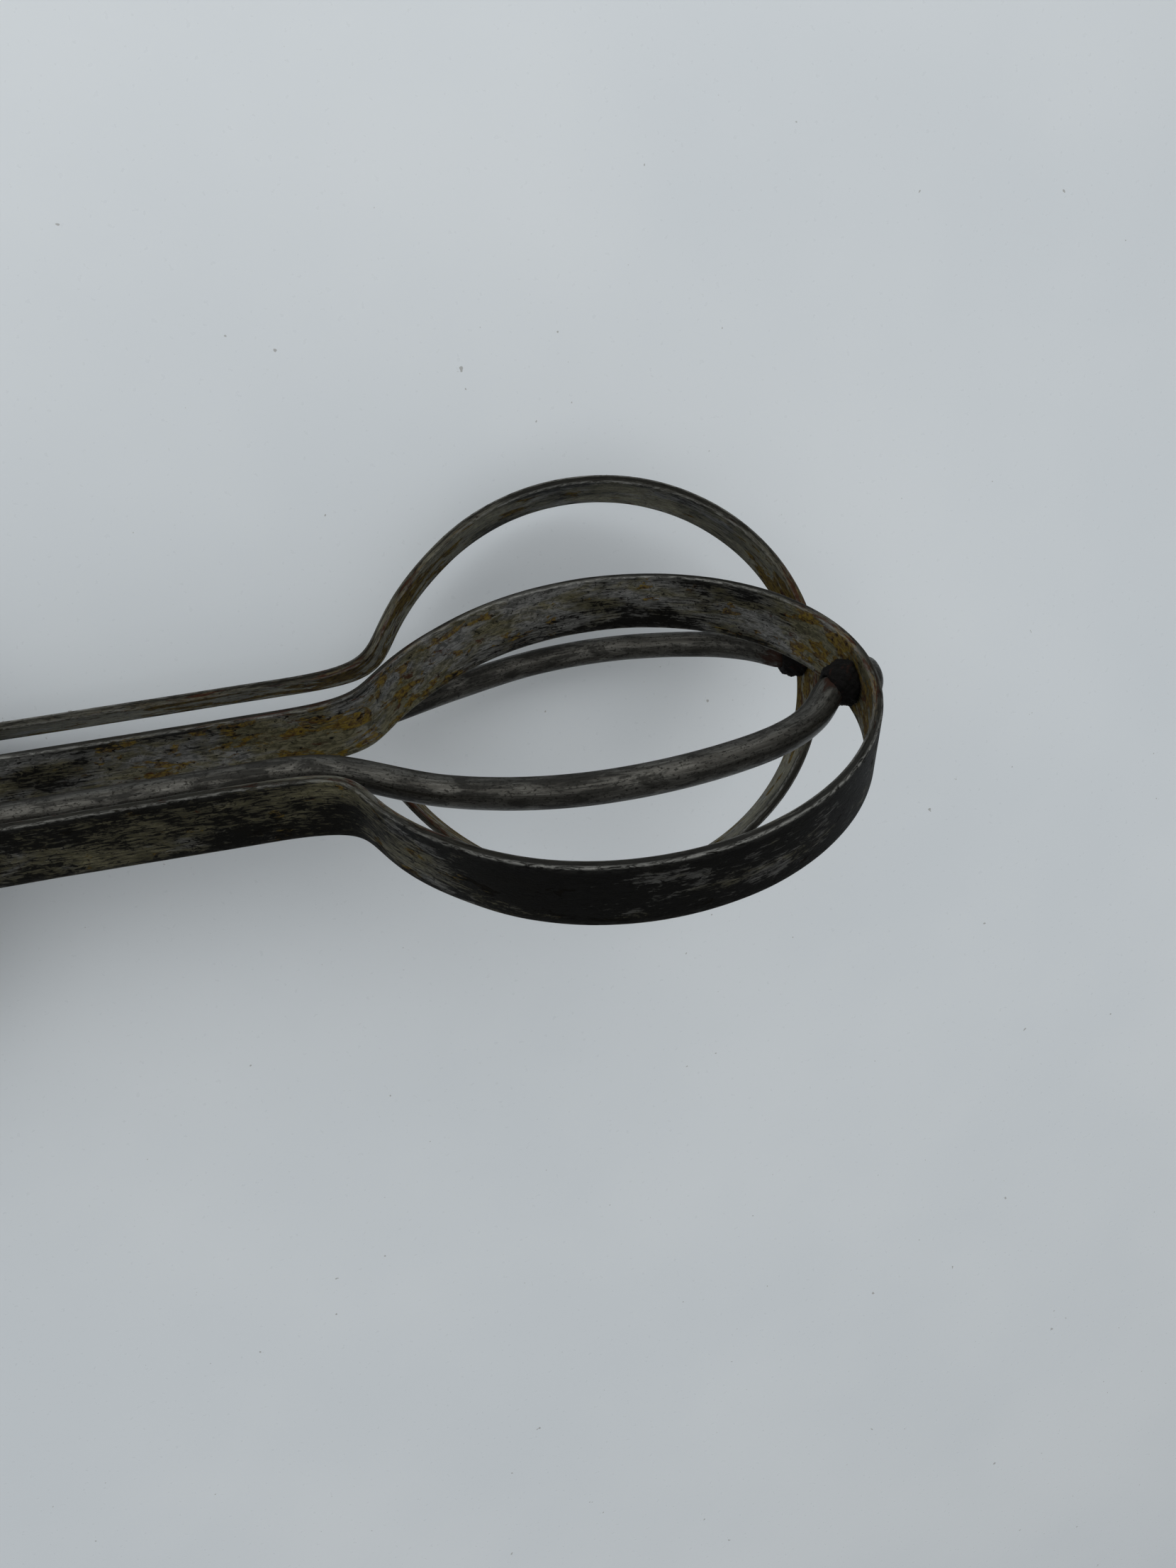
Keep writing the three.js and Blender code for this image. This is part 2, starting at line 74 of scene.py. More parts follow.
def gridMesh(name, rings, space=None, marks=None, loop=False):
    # rings is an (n, m, 3) array of closed rings in own millimetres; neighbouring rings are
    # joined by quads, and unless the last ring joins the first both ends get a fan
    n, m = rings.shape[:2]
    i = np.arange(n if loop else n - 1)[:, None]
    j = np.arange(m)[None, :]
    here, right = i * m + j, i * m + (j + 1) % m
    above = (i + 1) % n * m
    quads = np.stack([here, right, above + (j + 1) % m, above + j], -1).reshape(-1, 4)
    ends = [] if loop else [0, n - 1]
    verts = np.vstack([rings.reshape(-1, 3)] + [rings[k].mean(0)[None] for k in ends])
    ids = np.arange(m)
    turnRound = np.roll(ids, -1)
    fans = [] if loop else [
        np.stack([turnRound, ids, np.full(m, n * m)], -1),
        np.stack([ids + (n - 1) * m, turnRound + (n - 1) * m, np.full(m, n * m + 1)], -1)]
    # the enclosed volume is negative when the faces point inwards, and they are then turned round
    a, b, c, d = (verts[quads[:, k]] for k in range(4))
    volume = np.einsum("ij,ij->", a, np.cross(b, c) + np.cross(c, d))
    volume += sum(np.einsum("ij,ij->", verts[f[:, 0]], np.cross(verts[f[:, 1]], verts[f[:, 2]]))
                  for f in fans)
    way = 1 if volume > 0 else -1
    faces = quads[:, ::way].tolist() + [row for f in fans for row in f[:, ::way].tolist()]
    mesh = bpy.data.meshes.new(name)
    mesh.from_pydata(lay(verts).tolist(), [], faces)
    mesh.polygons.foreach_set("use_smooth", np.ones(len(mesh.polygons), bool))
    own = rings if space is None else space
    own = np.vstack([own.reshape(-1, 3)] + [own[k].mean(0)[None] for k in ends]) * mm
    addMark(mesh, "grain", own, "FLOAT_VECTOR", "vector")
    for key, values in (marks or {}).items():
        addMark(mesh, key, np.concatenate([values.ravel(), [values[k].mean() for k in ends]]))
    mesh.update()
    return mesh


def place(name, mesh, body, nodes, material):
    piece = bpy.data.objects.new(name, mesh)
    bpy.context.scene.collection.objects.link(piece)
    mesh.materials.append(material)
    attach(piece, body)
    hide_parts(*nodes)


def turnedRings(profile, sides=64, wobble=None):
    # a profile of (radius, height) pairs turned about Z; wobble(angle, height) scales the radius
    r, h = np.array(profile, float).T
    angle = np.linspace(0, 2 * np.pi, sides, endpoint=False)
    radius = r[:, None] * (1 if wobble is None else wobble(angle[None, :], h[:, None]))
    return np.stack([radius * np.cos(angle), radius * np.sin(angle),
                     np.repeat(h[:, None], sides, 1)], -1)


def softProfile(profile, radius=0.3, steps=3, closed=False):
    # rounds every corner of a profile with a short quadratic curve; an open one keeps its ends
    p = np.array(profile, float)
    before, after = np.roll(p, 1, 0), np.roll(p, -1, 0)
    back, on = before - p, after - p
    backLength, onLength = np.hypot(*back.T), np.hypot(*on.T)
    cut = np.minimum(radius, 0.45 * np.minimum(backLength, onLength))[:, None]
    start, end = p + back / backLength[:, None] * cut, p + on / onLength[:, None] * cut
    t = np.linspace(0, 1, steps + 1)[:, None, None]
    curve = (1 - t) ** 2 * start + 2 * t * (1 - t) * p + t ** 2 * end
    curve = curve.transpose(1, 0, 2)
    if closed:
        return curve.reshape(-1, 2)
    return np.vstack([p[:1], curve[1:-1].reshape(-1, 2), p[-1:]])


def alongX(rings, x=0.0, z=0.0):
    # stands a turned shape's axis along the beater
    return np.stack([rings[..., 2] + x, rings[..., 1], -rings[..., 0] + z], -1)


def rolled(points, degrees, z=0.0, x=0.0):
    # turns about the beater's length, then lifts to a shaft
    a = math.radians(degrees)
    y, h = points[..., 1], points[..., 2]
    return np.stack([points[..., 0] + x, y * math.cos(a) - h * math.sin(a),
                     y * math.sin(a) + h * math.cos(a) + z], -1)


def smoothNoise(x, seed, scale):
    # sum of four sine waves with seeded phases: an even, repeatable unevenness
    rng = np.random.default_rng(seed)
    total = 0
    for k in range(4):
        total = total + np.sin(x * (0.6 + 0.55 * k) / scale + rng.uniform(0, 6.28)) / (1 + 0.6 * k)
    return total / 2.2


def shaderTools(name):
    material = bpy.data.materials.new(name)
    material.use_nodes = True
    tree = material.node_tree
    tree.nodes.clear()

    def node(kind, inputs=None, **settings):
        made = tree.nodes.new(kind)
        for key, value in settings.items():
            setattr(made, key, value)
        for key, value in (inputs or {}).items():
            socket = made.inputs[key]
            if isinstance(value, bpy.types.NodeSocket):
                tree.links.new(value, socket)
            else:
                socket.default_value = value
        return made

    return material, node


def noiseField(node, vector, stretch, detail=6.0, rough=0.6, distortion=0.0, shift=(0, 0, 0)):
    mapping = node("ShaderNodeMapping", {"Vector": vector, "Scale": stretch, "Location": shift})
    noise = node("ShaderNodeTexNoise", {"Vector": mapping.outputs[0], "Scale": 1.0,
                                        "Detail": detail, "Roughness": rough,
                                        "Distortion": distortion}, noise_dimensions="3D")
    return noise.outputs["Fac"]


def step(node, value, low, high):
    # smooth 0 to 1 between low and high
    ramp = node("ShaderNodeMapRange", {"Value": value, "From Min": low, "From Max": high},
                interpolation_type="SMOOTHSTEP")
    return ramp.outputs["Result"]


def times(node, a, b):
    return node("ShaderNodeMath", {0: a, 1: b}, operation="MULTIPLY").outputs[0]


def scaleAdd(node, a, share, base):
    # a times share, plus base
    return node("ShaderNodeMath", {0: a, 1: share, 2: base}, operation="MULTIPLY_ADD").outputs[0]


def larger(node, a, b):
    return node("ShaderNodeMath", {0: a, 1: b}, operation="MAXIMUM").outputs[0]


def blendColor(node, share, a, b):
    a, b = ((*shade, 1.0) if isinstance(shade, tuple) else shade for shade in (a, b))
    return node("ShaderNodeMix", {0: share, 6: a, 7: b}, data_type="RGBA").outputs[2]


def coat(node, color, share, depth, shade):
    # lays a shade over a colour where share is 1, to the given depth
    return blendColor(node, times(node, share, depth), color, shade)


def blendValue(node, share, a, b):
    return node("ShaderNodeMix", {0: share, 2: a, 3: b}, data_type="FLOAT").outputs[0]


def finishShader(node, color, rough, metal, height, bumpDepth, bumpStrength=1.0, specular=0.5):
    bump = node("ShaderNodeBump", {"Height": height, "Distance": bumpDepth,
                                   "Strength": bumpStrength})
    shader = node("ShaderNodeBsdfPrincipled", {
        "Base Color": color, "Roughness": rough, "Metallic": metal,
        "Normal": bump.outputs["Normal"], "Specular IOR Level": specular})
    node("ShaderNodeOutputMaterial", {"Surface": shader.outputs[0]})


tinnedStrip = {
    "tin": (0.078, 0.078, 0.073), "wornTin": (0.235, 0.233, 0.222), "smoke": (0.015, 0.0145, 0.0125),
    "oxide": (0.0024, 0.0022, 0.0018), "olive": (0.050, 0.044, 0.017),
    "paleOlive": (0.150, 0.132, 0.060), "ochre": (0.128, 0.085, 0.009),
    "brown": (0.048, 0.024, 0.004), "rust": (0.036, 0.0105, 0.0045), "rim": (0.072, 0.071, 0.064),
    "corner": (0.30, 0.30, 0.28),
}


def makeTinnedStrip():
    # worn tinned strip: grey tin broken up by lengthwise black oxide and pits, olive tarnish,
    # ochre and red rust where water stood, smoother grey rims with rubbed corners
    look = tinnedStrip
    material, node = shaderTools("wornTinnedStrip")

    def mark(name):
        return node("ShaderNodeAttribute", attribute_name=name).outputs["Fac"]

    grain = node("ShaderNodeAttribute", attribute_name="grain").outputs["Vector"]
    outer, rim, edge, corner, stain, aged = map(
        mark, ("outer", "rim", "edge", "corner", "stain", "aged"))
    inside = times(node, stain, scaleAdd(node, outer, -0.65, 1.0))

    patch = noiseField(node, grain, (95, 300, 300), 9.0, 0.66, 0.5)
    crazed = noiseField(node, grain, (520, 1150, 1150), 8.0, 0.72, 1.2, (3, 1, 2))
    scratch = noiseField(node, grain, (330, 3100, 3100), 5.0, 0.64, 0.3, (4, 7, 1))
    pit = noiseField(node, grain, (1000, 1400, 1400), 5.0, 0.64, 0.5, (6, 2, 9))
    speck = noiseField(node, grain, (3300, 4300, 4300), 3.0, 0.6)
    broad = noiseField(node, grain, (36, 80, 80), 3.0, 0.5, 0.3, (7, 2, 5))
    tarnish = noiseField(node, grain, (75, 210, 210), 7.0, 0.64, 0.5, (1, 9, 4))
    ochreNoise = noiseField(node, grain, (150, 360, 360), 9.0, 0.64, 0.5, (5, 5, 1))
    rustNoise = noiseField(node, grain, (170, 520, 520), 8.0, 0.72, 0.6, (8, 3, 6))

    # where the black oxide lies: broad patches, ragged by the crazed and scratched layers
    mixed = scaleAdd(node, crazed, 0.42, times(node, patch, 0.30))
    for layer, share in ((scratch, 0.28), (broad, 0.40), (outer, 0.090), (edge, 0.060),
                         (stain, -0.045)):
        mixed = scaleAdd(node, layer, share, mixed)
    oxide = step(node, mixed, 0.735, 0.772)
    smoke = step(node, mixed, 0.665, 0.750)
    cut = step(node, scratch, 0.575, 0.650)
    hole = step(node, pit, 0.610, 0.660)
    dulled = scaleAdd(node, aged, 0.11, tarnish)
    olive = step(node, scaleAdd(node, stain, 0.10, dulled), 0.47, 0.63)
    ochre = step(node, scaleAdd(node, inside, 0.095, ochreNoise), 0.610, 0.645)
    damp = scaleAdd(node, rim, times(node, stain, 0.06), rustNoise)
    rust = step(node, scaleAdd(node, inside, 0.060, damp), 0.645, 0.700)
    earth = larger(node, ochre, rust)

    flake = step(node, crazed, 0.40, 0.60)
    color = blendColor(node, flake, look["tin"], look["wornTin"])
    tarnished = blendColor(node, flake, look["olive"], look["paleOlive"])
    color = coat(node, color, olive, 0.80, tarnished)
    earthy = blendColor(node, step(node, pit, 0.42, 0.58), look["ochre"], look["brown"])
    color = coat(node, color, ochre, 0.85, earthy)
    rimShare = times(node, rim, scaleAdd(node, stain, -0.25, 0.85))
    color = blendColor(node, rimShare, color, look["rim"])
    for share, depth, shade in ((cut, 0.62, "smoke"), (smoke, 0.75, "smoke"), (rust, 0.85, "rust")):
        color = coat(node, color, share, depth, look[shade])
    bare = scaleAdd(node, rim, -0.5, 1.0)
    black = times(node, larger(node, oxide, hole), bare)
    color = coat(node, color, black, 0.95, look["oxide"])
    rubbed = times(node, corner, step(node, crazed, 0.40, 0.60))
    rubbed = times(node, rubbed, scaleAdd(node, stain, -0.30, 0.75))
    color = blendColor(node, rubbed, color, look["corner"])

    rough = blendValue(node, smoke, 0.44, 0.54)
    rough = scaleAdd(node, speck, 0.16, rough)
    rough = blendValue(node, earth, rough, 0.88)
    metal = blendValue(node, smoke, 0.70, 0.25)
    metal = blendValue(node, earth, metal, 0.0)
    height = scaleAdd(node, speck, 0.25, times(node, crazed, 0.6))
    for layer, share in ((cut, -0.30), (hole, -0.45), (earth, 0.40)):
        height = scaleAdd(node, layer, share, height)
    finishShader(node, color, rough, metal, height, 0.00016, 1.0, 0.05)
    return material


drawnRod = {"steel": (0.044, 0.042, 0.037), "bright": (0.112, 0.109, 0.098),
            "dark": (0.010, 0.0095, 0.008), "rust": (0.022, 0.0075, 0.004)}


def makeDrawnRod():
    # smooth dark wire with fine lengthwise scratches, dull blotches and a rusted tip
    look = drawnRod
    material, node = shaderTools("drawnRodSteel")
    grain = node("ShaderNodeAttribute", attribute_name="grain").outputs["Vector"]
    stain = node("ShaderNodeAttribute", attribute_name="stain").outputs["Fac"]
    scratch = noiseField(node, grain, (70, 2200, 2200), 6.0, 0.62)
    blotch = noiseField(node, grain, (130, 420, 420), 8.0, 0.68, 0.5, (2, 2, 7))
    speck = noiseField(node, grain, (1500, 2600, 2600), 4.0, 0.68)
    mixed = scaleAdd(node, scratch, 0.42, times(node, blotch, 0.58))
    dark = step(node, mixed, 0.46, 0.55)
    pit = step(node, speck, 0.55, 0.61)
    rustShare = step(node, scaleAdd(node, stain, 0.30, blotch), 0.70, 0.84)
    color = blendColor(node, step(node, scratch, 0.36, 0.66), look["steel"], look["bright"])
    color = coat(node, color, dark, 0.85, look["dark"])
    color = coat(node, color, pit, 0.80, look["dark"])
    color = coat(node, color, rustShare, 0.8, look["rust"])
    rough = scaleAdd(node, dark, 0.14, 0.27)
    rough = scaleAdd(node, speck, 0.14, rough)
    rough = blendValue(node, rustShare, rough, 0.86)
    metal = blendValue(node, larger(node, rustShare, times(node, dark, 0.6)), 0.82, 0.10)
    height = scaleAdd(node, speck, 0.35, times(node, scratch, 0.7))
    finishShader(node, color, rough, metal, height, 0.00008, 1.0, 0.10)
    return material


oldCasting = {"skin": (0.022, 0.020, 0.019), "dust": (0.060, 0.054, 0.046),
              "worn": (0.23, 0.225, 0.215), "rust": (0.070, 0.026, 0.012)}


def makeOldCasting():
    # sand-cast iron: grainy dark skin, dusty patches, brown rust, bare metal where it rubs
    look = oldCasting
    material, node = shaderTools("oldCastIron")
    spot = node("ShaderNodeTexCoord").outputs["Object"]
    worn = node("ShaderNodeAttribute", attribute_name="worn").outputs["Fac"]
    sand = noiseField(node, spot, (1500, 1500, 1500), 5.0, 0.65)
    lump = noiseField(node, spot, (300, 300, 300), 5.0, 0.6, 0.2, (1, 2, 3))
    dusty = step(node, noiseField(node, spot, (110, 110, 110), 8.0, 0.7, 0.6, (4, 4, 2)), 0.48, 0.66)
    rustShare = step(node, noiseField(node, spot, (75, 75, 75), 9.0, 0.72, 0.8, (9, 1, 5)),
                     0.55, 0.68)
    rubbed = times(node, worn, step(node, sand, 0.34, 0.60))
    color = coat(node, look["skin"], dusty, 0.7, look["dust"])
    color = coat(node, color, rustShare, 0.75, look["rust"])
    color = blendColor(node, rubbed, color, look["worn"])
    rough = scaleAdd(node, sand, 0.26, 0.40)
    rough = blendValue(node, rustShare, rough, 0.84)
    rough = blendValue(node, rubbed, rough, 0.36)
    metal = blendValue(node, rustShare, 0.45, 0.05)
    metal = blendValue(node, rubbed, metal, 0.9)
    height = scaleAdd(node, sand, 0.40, lump)
    finishShader(node, color, rough, metal, height, 0.00028, 1.0, 0.4)
    return material


turnedSteel = {"steel": (0.125, 0.122, 0.115), "bright": (0.27, 0.265, 0.25),
               "dark": (0.022, 0.021, 0.019), "rust": (0.085, 0.030, 0.013)}


def makeTurnedSteel():
    # small turned and stamped parts: tool rings about the axis, dark blotches, freckled rust
    look = turnedSteel
    material, node = shaderTools("turnedSteel")
    grain = node("ShaderNodeAttribute", attribute_name="grain").outputs["Vector"]
    worn = node("ShaderNodeAttribute", attribute_name="worn").outputs["Fac"]
    spot = node("ShaderNodeTexCoord").outputs["Object"]
    rings = noiseField(node, grain, (4200, 4200, 60), 4.0, 0.6)
    blotch = noiseField(node, spot, (420, 420, 420), 8.0, 0.7, 0.6, (2, 4, 7))
    speck = noiseField(node, spot, (2300, 2300, 2300), 4.0, 0.65)
    dark = step(node, blotch, 0.46, 0.64)
    rustShare = step(node, noiseField(node, spot, (600, 600, 600), 8.0, 0.7, 0.5, (3, 9, 1)),
                     0.58, 0.68)
    color = blendColor(node, step(node, rings, 0.36, 0.66), look["steel"], look["bright"])
    color = coat(node, color, dark, 0.8, look["dark"])
    color = coat(node, color, rustShare, 0.75, look["rust"])
    color = coat(node, color, worn, 0.6, look["bright"])
    rough = scaleAdd(node, speck, 0.16, 0.30)
    rough = blendValue(node, rustShare, scaleAdd(node, dark, 0.12, rough), 0.85)
    metal = blendValue(node, rustShare, 0.85, 0.1)
    height = scaleAdd(node, speck, 0.4, times(node, rings, 0.6))
    finishShader(node, color, rough, metal, height, 0.00005, 1.0, 0.35)
    return material


crud = {"dirt": (0.0030, 0.0025, 0.0021), "rust": (0.020, 0.0065, 0.0038)}


def makeCrud():
    # baked-on black dirt and rust at the rod tips
    material, node = shaderTools("blackCrud")
    spot = node("ShaderNodeTexCoord").outputs["Object"]
    lump = noiseField(node, spot, (900, 900, 900), 7.0, 0.7)
    tint = noiseField(node, spot, (520, 520, 520), 6.0, 0.65, 0.4, (2, 5, 1))
    color = blendColor(node, step(node, tint, 0.55, 0.70), crud["dirt"], crud["rust"])
    rough = scaleAdd(node, lump, 0.30, 0.60)
    finishShader(node, color, rough, 0.0, lump, 0.0007, 1.0, 0.12)
    return material


knobWood = {"dark": (0.013, 0.0068, 0.0042), "light": (0.052, 0.027, 0.014),
            "bare": (0.120, 0.074, 0.041)}


def makeKnobWood():
    # dark stained turned wood: grain lines along the knob, pores, the bulge rubbed paler
    look = knobWood
    material, node = shaderTools("stainedKnobWood")
    spot = node("ShaderNodeTexCoord").outputs["Object"]
    worn = node("ShaderNodeAttribute", attribute_name="worn").outputs["Fac"]
    line = noiseField(node, spot, (900, 900, 45), 6.0, 0.6, 0.6)
    pore = noiseField(node, spot, (3600, 3600, 260), 4.0, 0.6, 0.0, (3, 2, 1))
    wear = step(node, scaleAdd(node, worn, 0.16, noiseField(
        node, spot, (230, 230, 130), 7.0, 0.66, 0.4)), 0.54, 0.70)
    openPore = step(node, pore, 0.60, 0.68)
    color = blendColor(node, step(node, line, 0.36, 0.66), look["dark"], look["light"])
    color = coat(node, color, wear, 0.55, look["bare"])
    color = coat(node, color, openPore, 0.7, look["dark"])
    rough = scaleAdd(node, wear, 0.22, 0.28)
    height = scaleAdd(node, line, 0.5, times(node, openPore, -0.6))
    finishShader(node, color, rough, 0.0, height, 0.00008)
    return material


tableLook = {"pale": (0.700, 0.742, 0.775), "paler": (0.745, 0.782, 0.808), "dust": (0.30, 0.29, 0.27)}


def makeTableTop():
    # pale, slightly glossy enamel with faint mottling and a few specks of dust
    look = tableLook
    material, node = shaderTools("paleTable")
    spot = node("ShaderNodeTexCoord").outputs["Object"]
    cloud = noiseField(node, spot, (9, 9, 9), 4.0, 0.55)
    fine = noiseField(node, spot, (700, 700, 700), 3.0, 0.6)
    crumb = step(node, noiseField(node, spot, (420, 420, 420), 2.0, 0.5, 0.0, (5, 3, 0)), 0.755, 0.775)
    color = blendColor(node, step(node, cloud, 0.3, 0.7), look["pale"], look["paler"])
    color = coat(node, color, crumb, 0.7, look["dust"])
    rough = scaleAdd(node, fine, 0.10, 0.24)
    finishShader(node, color, rough, 0.0, fine, 0.00002, 0.4, 0.5)
    return material


stripLook = makeTinnedStrip()
rodLook = makeDrawnRod()
castLook = makeOldCasting()
turnedLook = makeTurnedSteel()
crudLook = makeCrud()
woodLook = makeKnobWood()
print("materials made")

# the two strap loops, lengths in mm: turn is each loop's angle about its shaft at rest, out how far
# it stands forward, stains (strength, distance from the tip, spread); blackened and tinKept shift the
# black oxide on the outer face and all over
strap = {
    "loopRadius": 35.0, "loopHalf": 37.6, "sweep": 128.0, "neckHalf": 8.4, "neckStart": -90.5,
    "neckEnd": -149.4, "width": 10.6, "thick": 1.5, "corner": 0.42, "step": 0.62,
    "turn": {"upper": -67.8, "lower": -19.5}, "out": {"upper": 0.0, "lower": 0.5},
    "stains": [(0.9, 113, 10), (1.6, 7, 13), (0.9, 136, 16), (1.1, 92, 15)],
    "stained": {"upper": 0.0, "lower": 0.12}, "tarnished": {"upper": 0.0, "lower": 1.0},
    "blackened": {"upper": 1.15, "lower": 0.85}, "tinKept": {"upper": 0.0, "lower": 0.25},
    "neckFrom": 96, "grainApart": 500, "seed": {"upper": 11, "lower": 23},
}
side = {"upper": 1, "lower": -1}


def strapLine():
    # ellipse from the tip through the sweep angle, cubic shoulder curve, straight neck; mirrored and
    # spaced evenly by its own length
    s = strap
    angle = np.radians(np.linspace(0, s["sweep"], 200))
    loop = np.stack([s["loopHalf"] * (np.cos(angle) - 1), s["loopRadius"] * np.sin(angle)], -1)
    last = math.radians(s["sweep"])
    run = np.array([-s["loopHalf"] * math.sin(last), s["loopRadius"] * math.cos(last)])
    run /= np.hypot(*run)
    t = np.linspace(0, 1, 120)[1:, None]
    a, d = loop[-1], np.array([s["neckStart"], s["neckHalf"]])
    b, c = a + 24 * run, d + np.array([21.7, 0])
    shoulder = ((1 - t) ** 3 * a + 3 * (1 - t) ** 2 * t * b + 3 * (1 - t) * t ** 2 * c
                + t ** 3 * d)
    half = np.vstack([loop, shoulder, [[s["neckEnd"], s["neckHalf"]]]])
    line = np.vstack([half[::-1] * [1, -1], half[1:]])
    length = np.concatenate([[0], np.cumsum(np.hypot(*np.diff(line, axis=0).T))])
    count = int(length[-1] / s["step"])
    even = np.linspace(0, length[-1], count)
    x, y = np.interp(even, length, line[:, 0]), np.interp(even, length, line[:, 1])
    tangent = np.stack([np.gradient(x), np.gradient(y)], -1)
    tangent /= np.hypot(*tangent.T)[:, None]
    return even - length[-1] / 2, np.stack([x, y], -1), tangent


def strapSection():
    # a rectangle with quarter-circle corners as (across, through) points: one half, then its opposite
    w, h, r = strap["width"] / 2, strap["thick"] / 2, strap["corner"]
    flat = np.linspace(-w + r, w - r, 15)
    arc = np.linspace(0, np.pi / 2, 6)[1:-1]
    top = np.stack([flat, np.full(15, h)], -1)
    right = np.stack([w - r + r * np.sin(arc), h - r + r * np.cos(arc)], -1)
    sideRight = np.array([[w, h - r], [w, -h + r]])
    lowRight = np.stack([w - r + r * np.cos(arc), -h + r - r * np.sin(arc)], -1)
    half = np.vstack([top, right, sideRight, lowRight])
    return np.vstack([half, -half])


def hump(x, middle, width):
    # 1 at the middle, falling off as the exponential of minus the distance squared
    return np.exp(-((x - middle) / width) ** 2)


def makeStrap(label):
    along, line, tangent = strapLine()
    section = strapSection()
    outward = np.stack([-tangent[:, 1], tangent[:, 0]], -1)
    if outward[len(outward) // 2, 0] < 0:
        outward = -outward
    seed = strap["seed"][label]
    across, through = section[None, :, 0], section[None, :, 1]
    u = along[:, None]
    # place = centre line + outward normal times (half thickness + waver), width across the loop;
    # the band wavers by a tenth of a millimetre and its width by a hundredth part
    sway = 0.07 * smoothNoise(u + 1.3 * across, seed, 6.0) - 0.07
    widen = 1 - 0.006 * (1 + smoothNoise(u, seed + 3, 3.0)) + 0 * across
    ends = np.clip((along[-1] - np.abs(u)) / 0.4, 0.25, 1)
    offset = (through * (0.35 + 0.65 * ends) + sway * (np.abs(through) > 0.2) * np.sign(through) * 0.5
              + 0.05 * smoothNoise(u, seed + 5, 14.0))
    width = across * widen * (0.93 + 0.07 * ends)
    x = line[:, :1] + outward[:, :1] * offset
    y = line[:, 1:] + outward[:, 1:] * offset
    rings = np.stack([x, y, width + 0 * x], -1)
    rings = rolled(rings, strap["turn"][label], side[label] * shaftUp, strap["out"][label])
    grain = np.stack([u + 0 * x + strap["grainApart"] * (label == "lower"), across + 0 * x,
                      through * 3 + 0 * x], -1)
    w, h = strap["width"] / 2, strap["thick"] / 2
    reach = np.abs(across)
    rim = np.clip((reach - (w - 0.22)) / 0.12, 0, 1) + 0 * x
    corner = hump(reach, w - 0.16, 0.16) * (np.abs(through) > h - 0.35) + 0 * x
    edge = np.clip((reach - (w - 1.5)) / 1.1, 0, 1) + 0 * x
    outerFace = through > 0.3
    outer = outerFace * strap["blackened"][label] + 0 * x - strap["tinKept"][label]
    mid = np.abs(u)
    stain = sum(strength * hump(mid, at, spread) for strength, at, spread in strap["stains"])
    stain = stain + strap["stained"][label] + 0 * x
    # tarnish: all over the lower loop, and on the outer faces of both necks
    onNeck = 0.8 * (mid > strap["neckFrom"]) * outerFace
    aged = np.clip(strap["tarnished"][label] + onNeck, 0, 1) + 0 * x
    mesh = gridMesh("strapLoop_" + label, rings, grain,
                    {"edge": edge, "rim": rim, "corner": corner, "outer": outer, "stain": stain,
                     "aged": aged})
    place("strapLoop_" + label, mesh, "dasher_" + label,
          ["dasher_strap_" + label], stripLook)


for label in side:
    makeStrap(label)
print("strap loops made")

# the fixed rods with their clenched heads; bow holds (x, rise, aside) points in mm
rod = {
    "radius": 2.36, "shank": 1.6, "start": -171.1, "step": 0.55, "sides": 40,
    "bow": {
        "upper": [(-80, 1.2, 0.6), (-64, 7.6, 4.4), (-48, 13.2, 5.4), (-32, 14.1, 5.2),
                  (-16, 9.3, 4.5), (-9, 4.8, 3.2), (-5.1, 1.1, 1)],
        "lower": [(-80, 1.2, 0.3), (-64, 8, 2.1), (-48, 13.6, 3.4), (-32, 14.3, 3.5),
                  (-16, 9.6, 2.5), (-9, 5, 1.5), (-5.1, 1.2, 0.4)],
    },
}


def throughPoints(points, per=60):
    # centripetal Catmull-Rom curve through the points, one blend per stretch
    p = np.array(points, float)
    p = np.vstack([2 * p[0] - p[1], p, 2 * p[-1] - p[-2]])
    out = []
    for k in range(1, len(p) - 2):
        q = p[k - 1:k + 3]
        knots = np.concatenate([[0], np.cumsum(np.sqrt(np.linalg.norm(np.diff(q, axis=0), axis=1)))])
        t = np.linspace(knots[1], knots[2], per, endpoint=False)[:, None]

        def lerp(a, b, ta, tb):
            return ((tb - t) * a + (t - ta) * b) / (tb - ta)

        a1 = lerp(q[0], q[1], knots[0], knots[1])
        a2 = lerp(q[1], q[2], knots[1], knots[2])
        a3 = lerp(q[2], q[3], knots[2], knots[3])
        b1 = lerp(a1, a2, knots[0], knots[2])
        b2 = lerp(a2, a3, knots[1], knots[3])
        out.append(lerp(b1, b2, knots[1], knots[2]))
    out.append(p[-2:-1])
    return np.vstack(out)


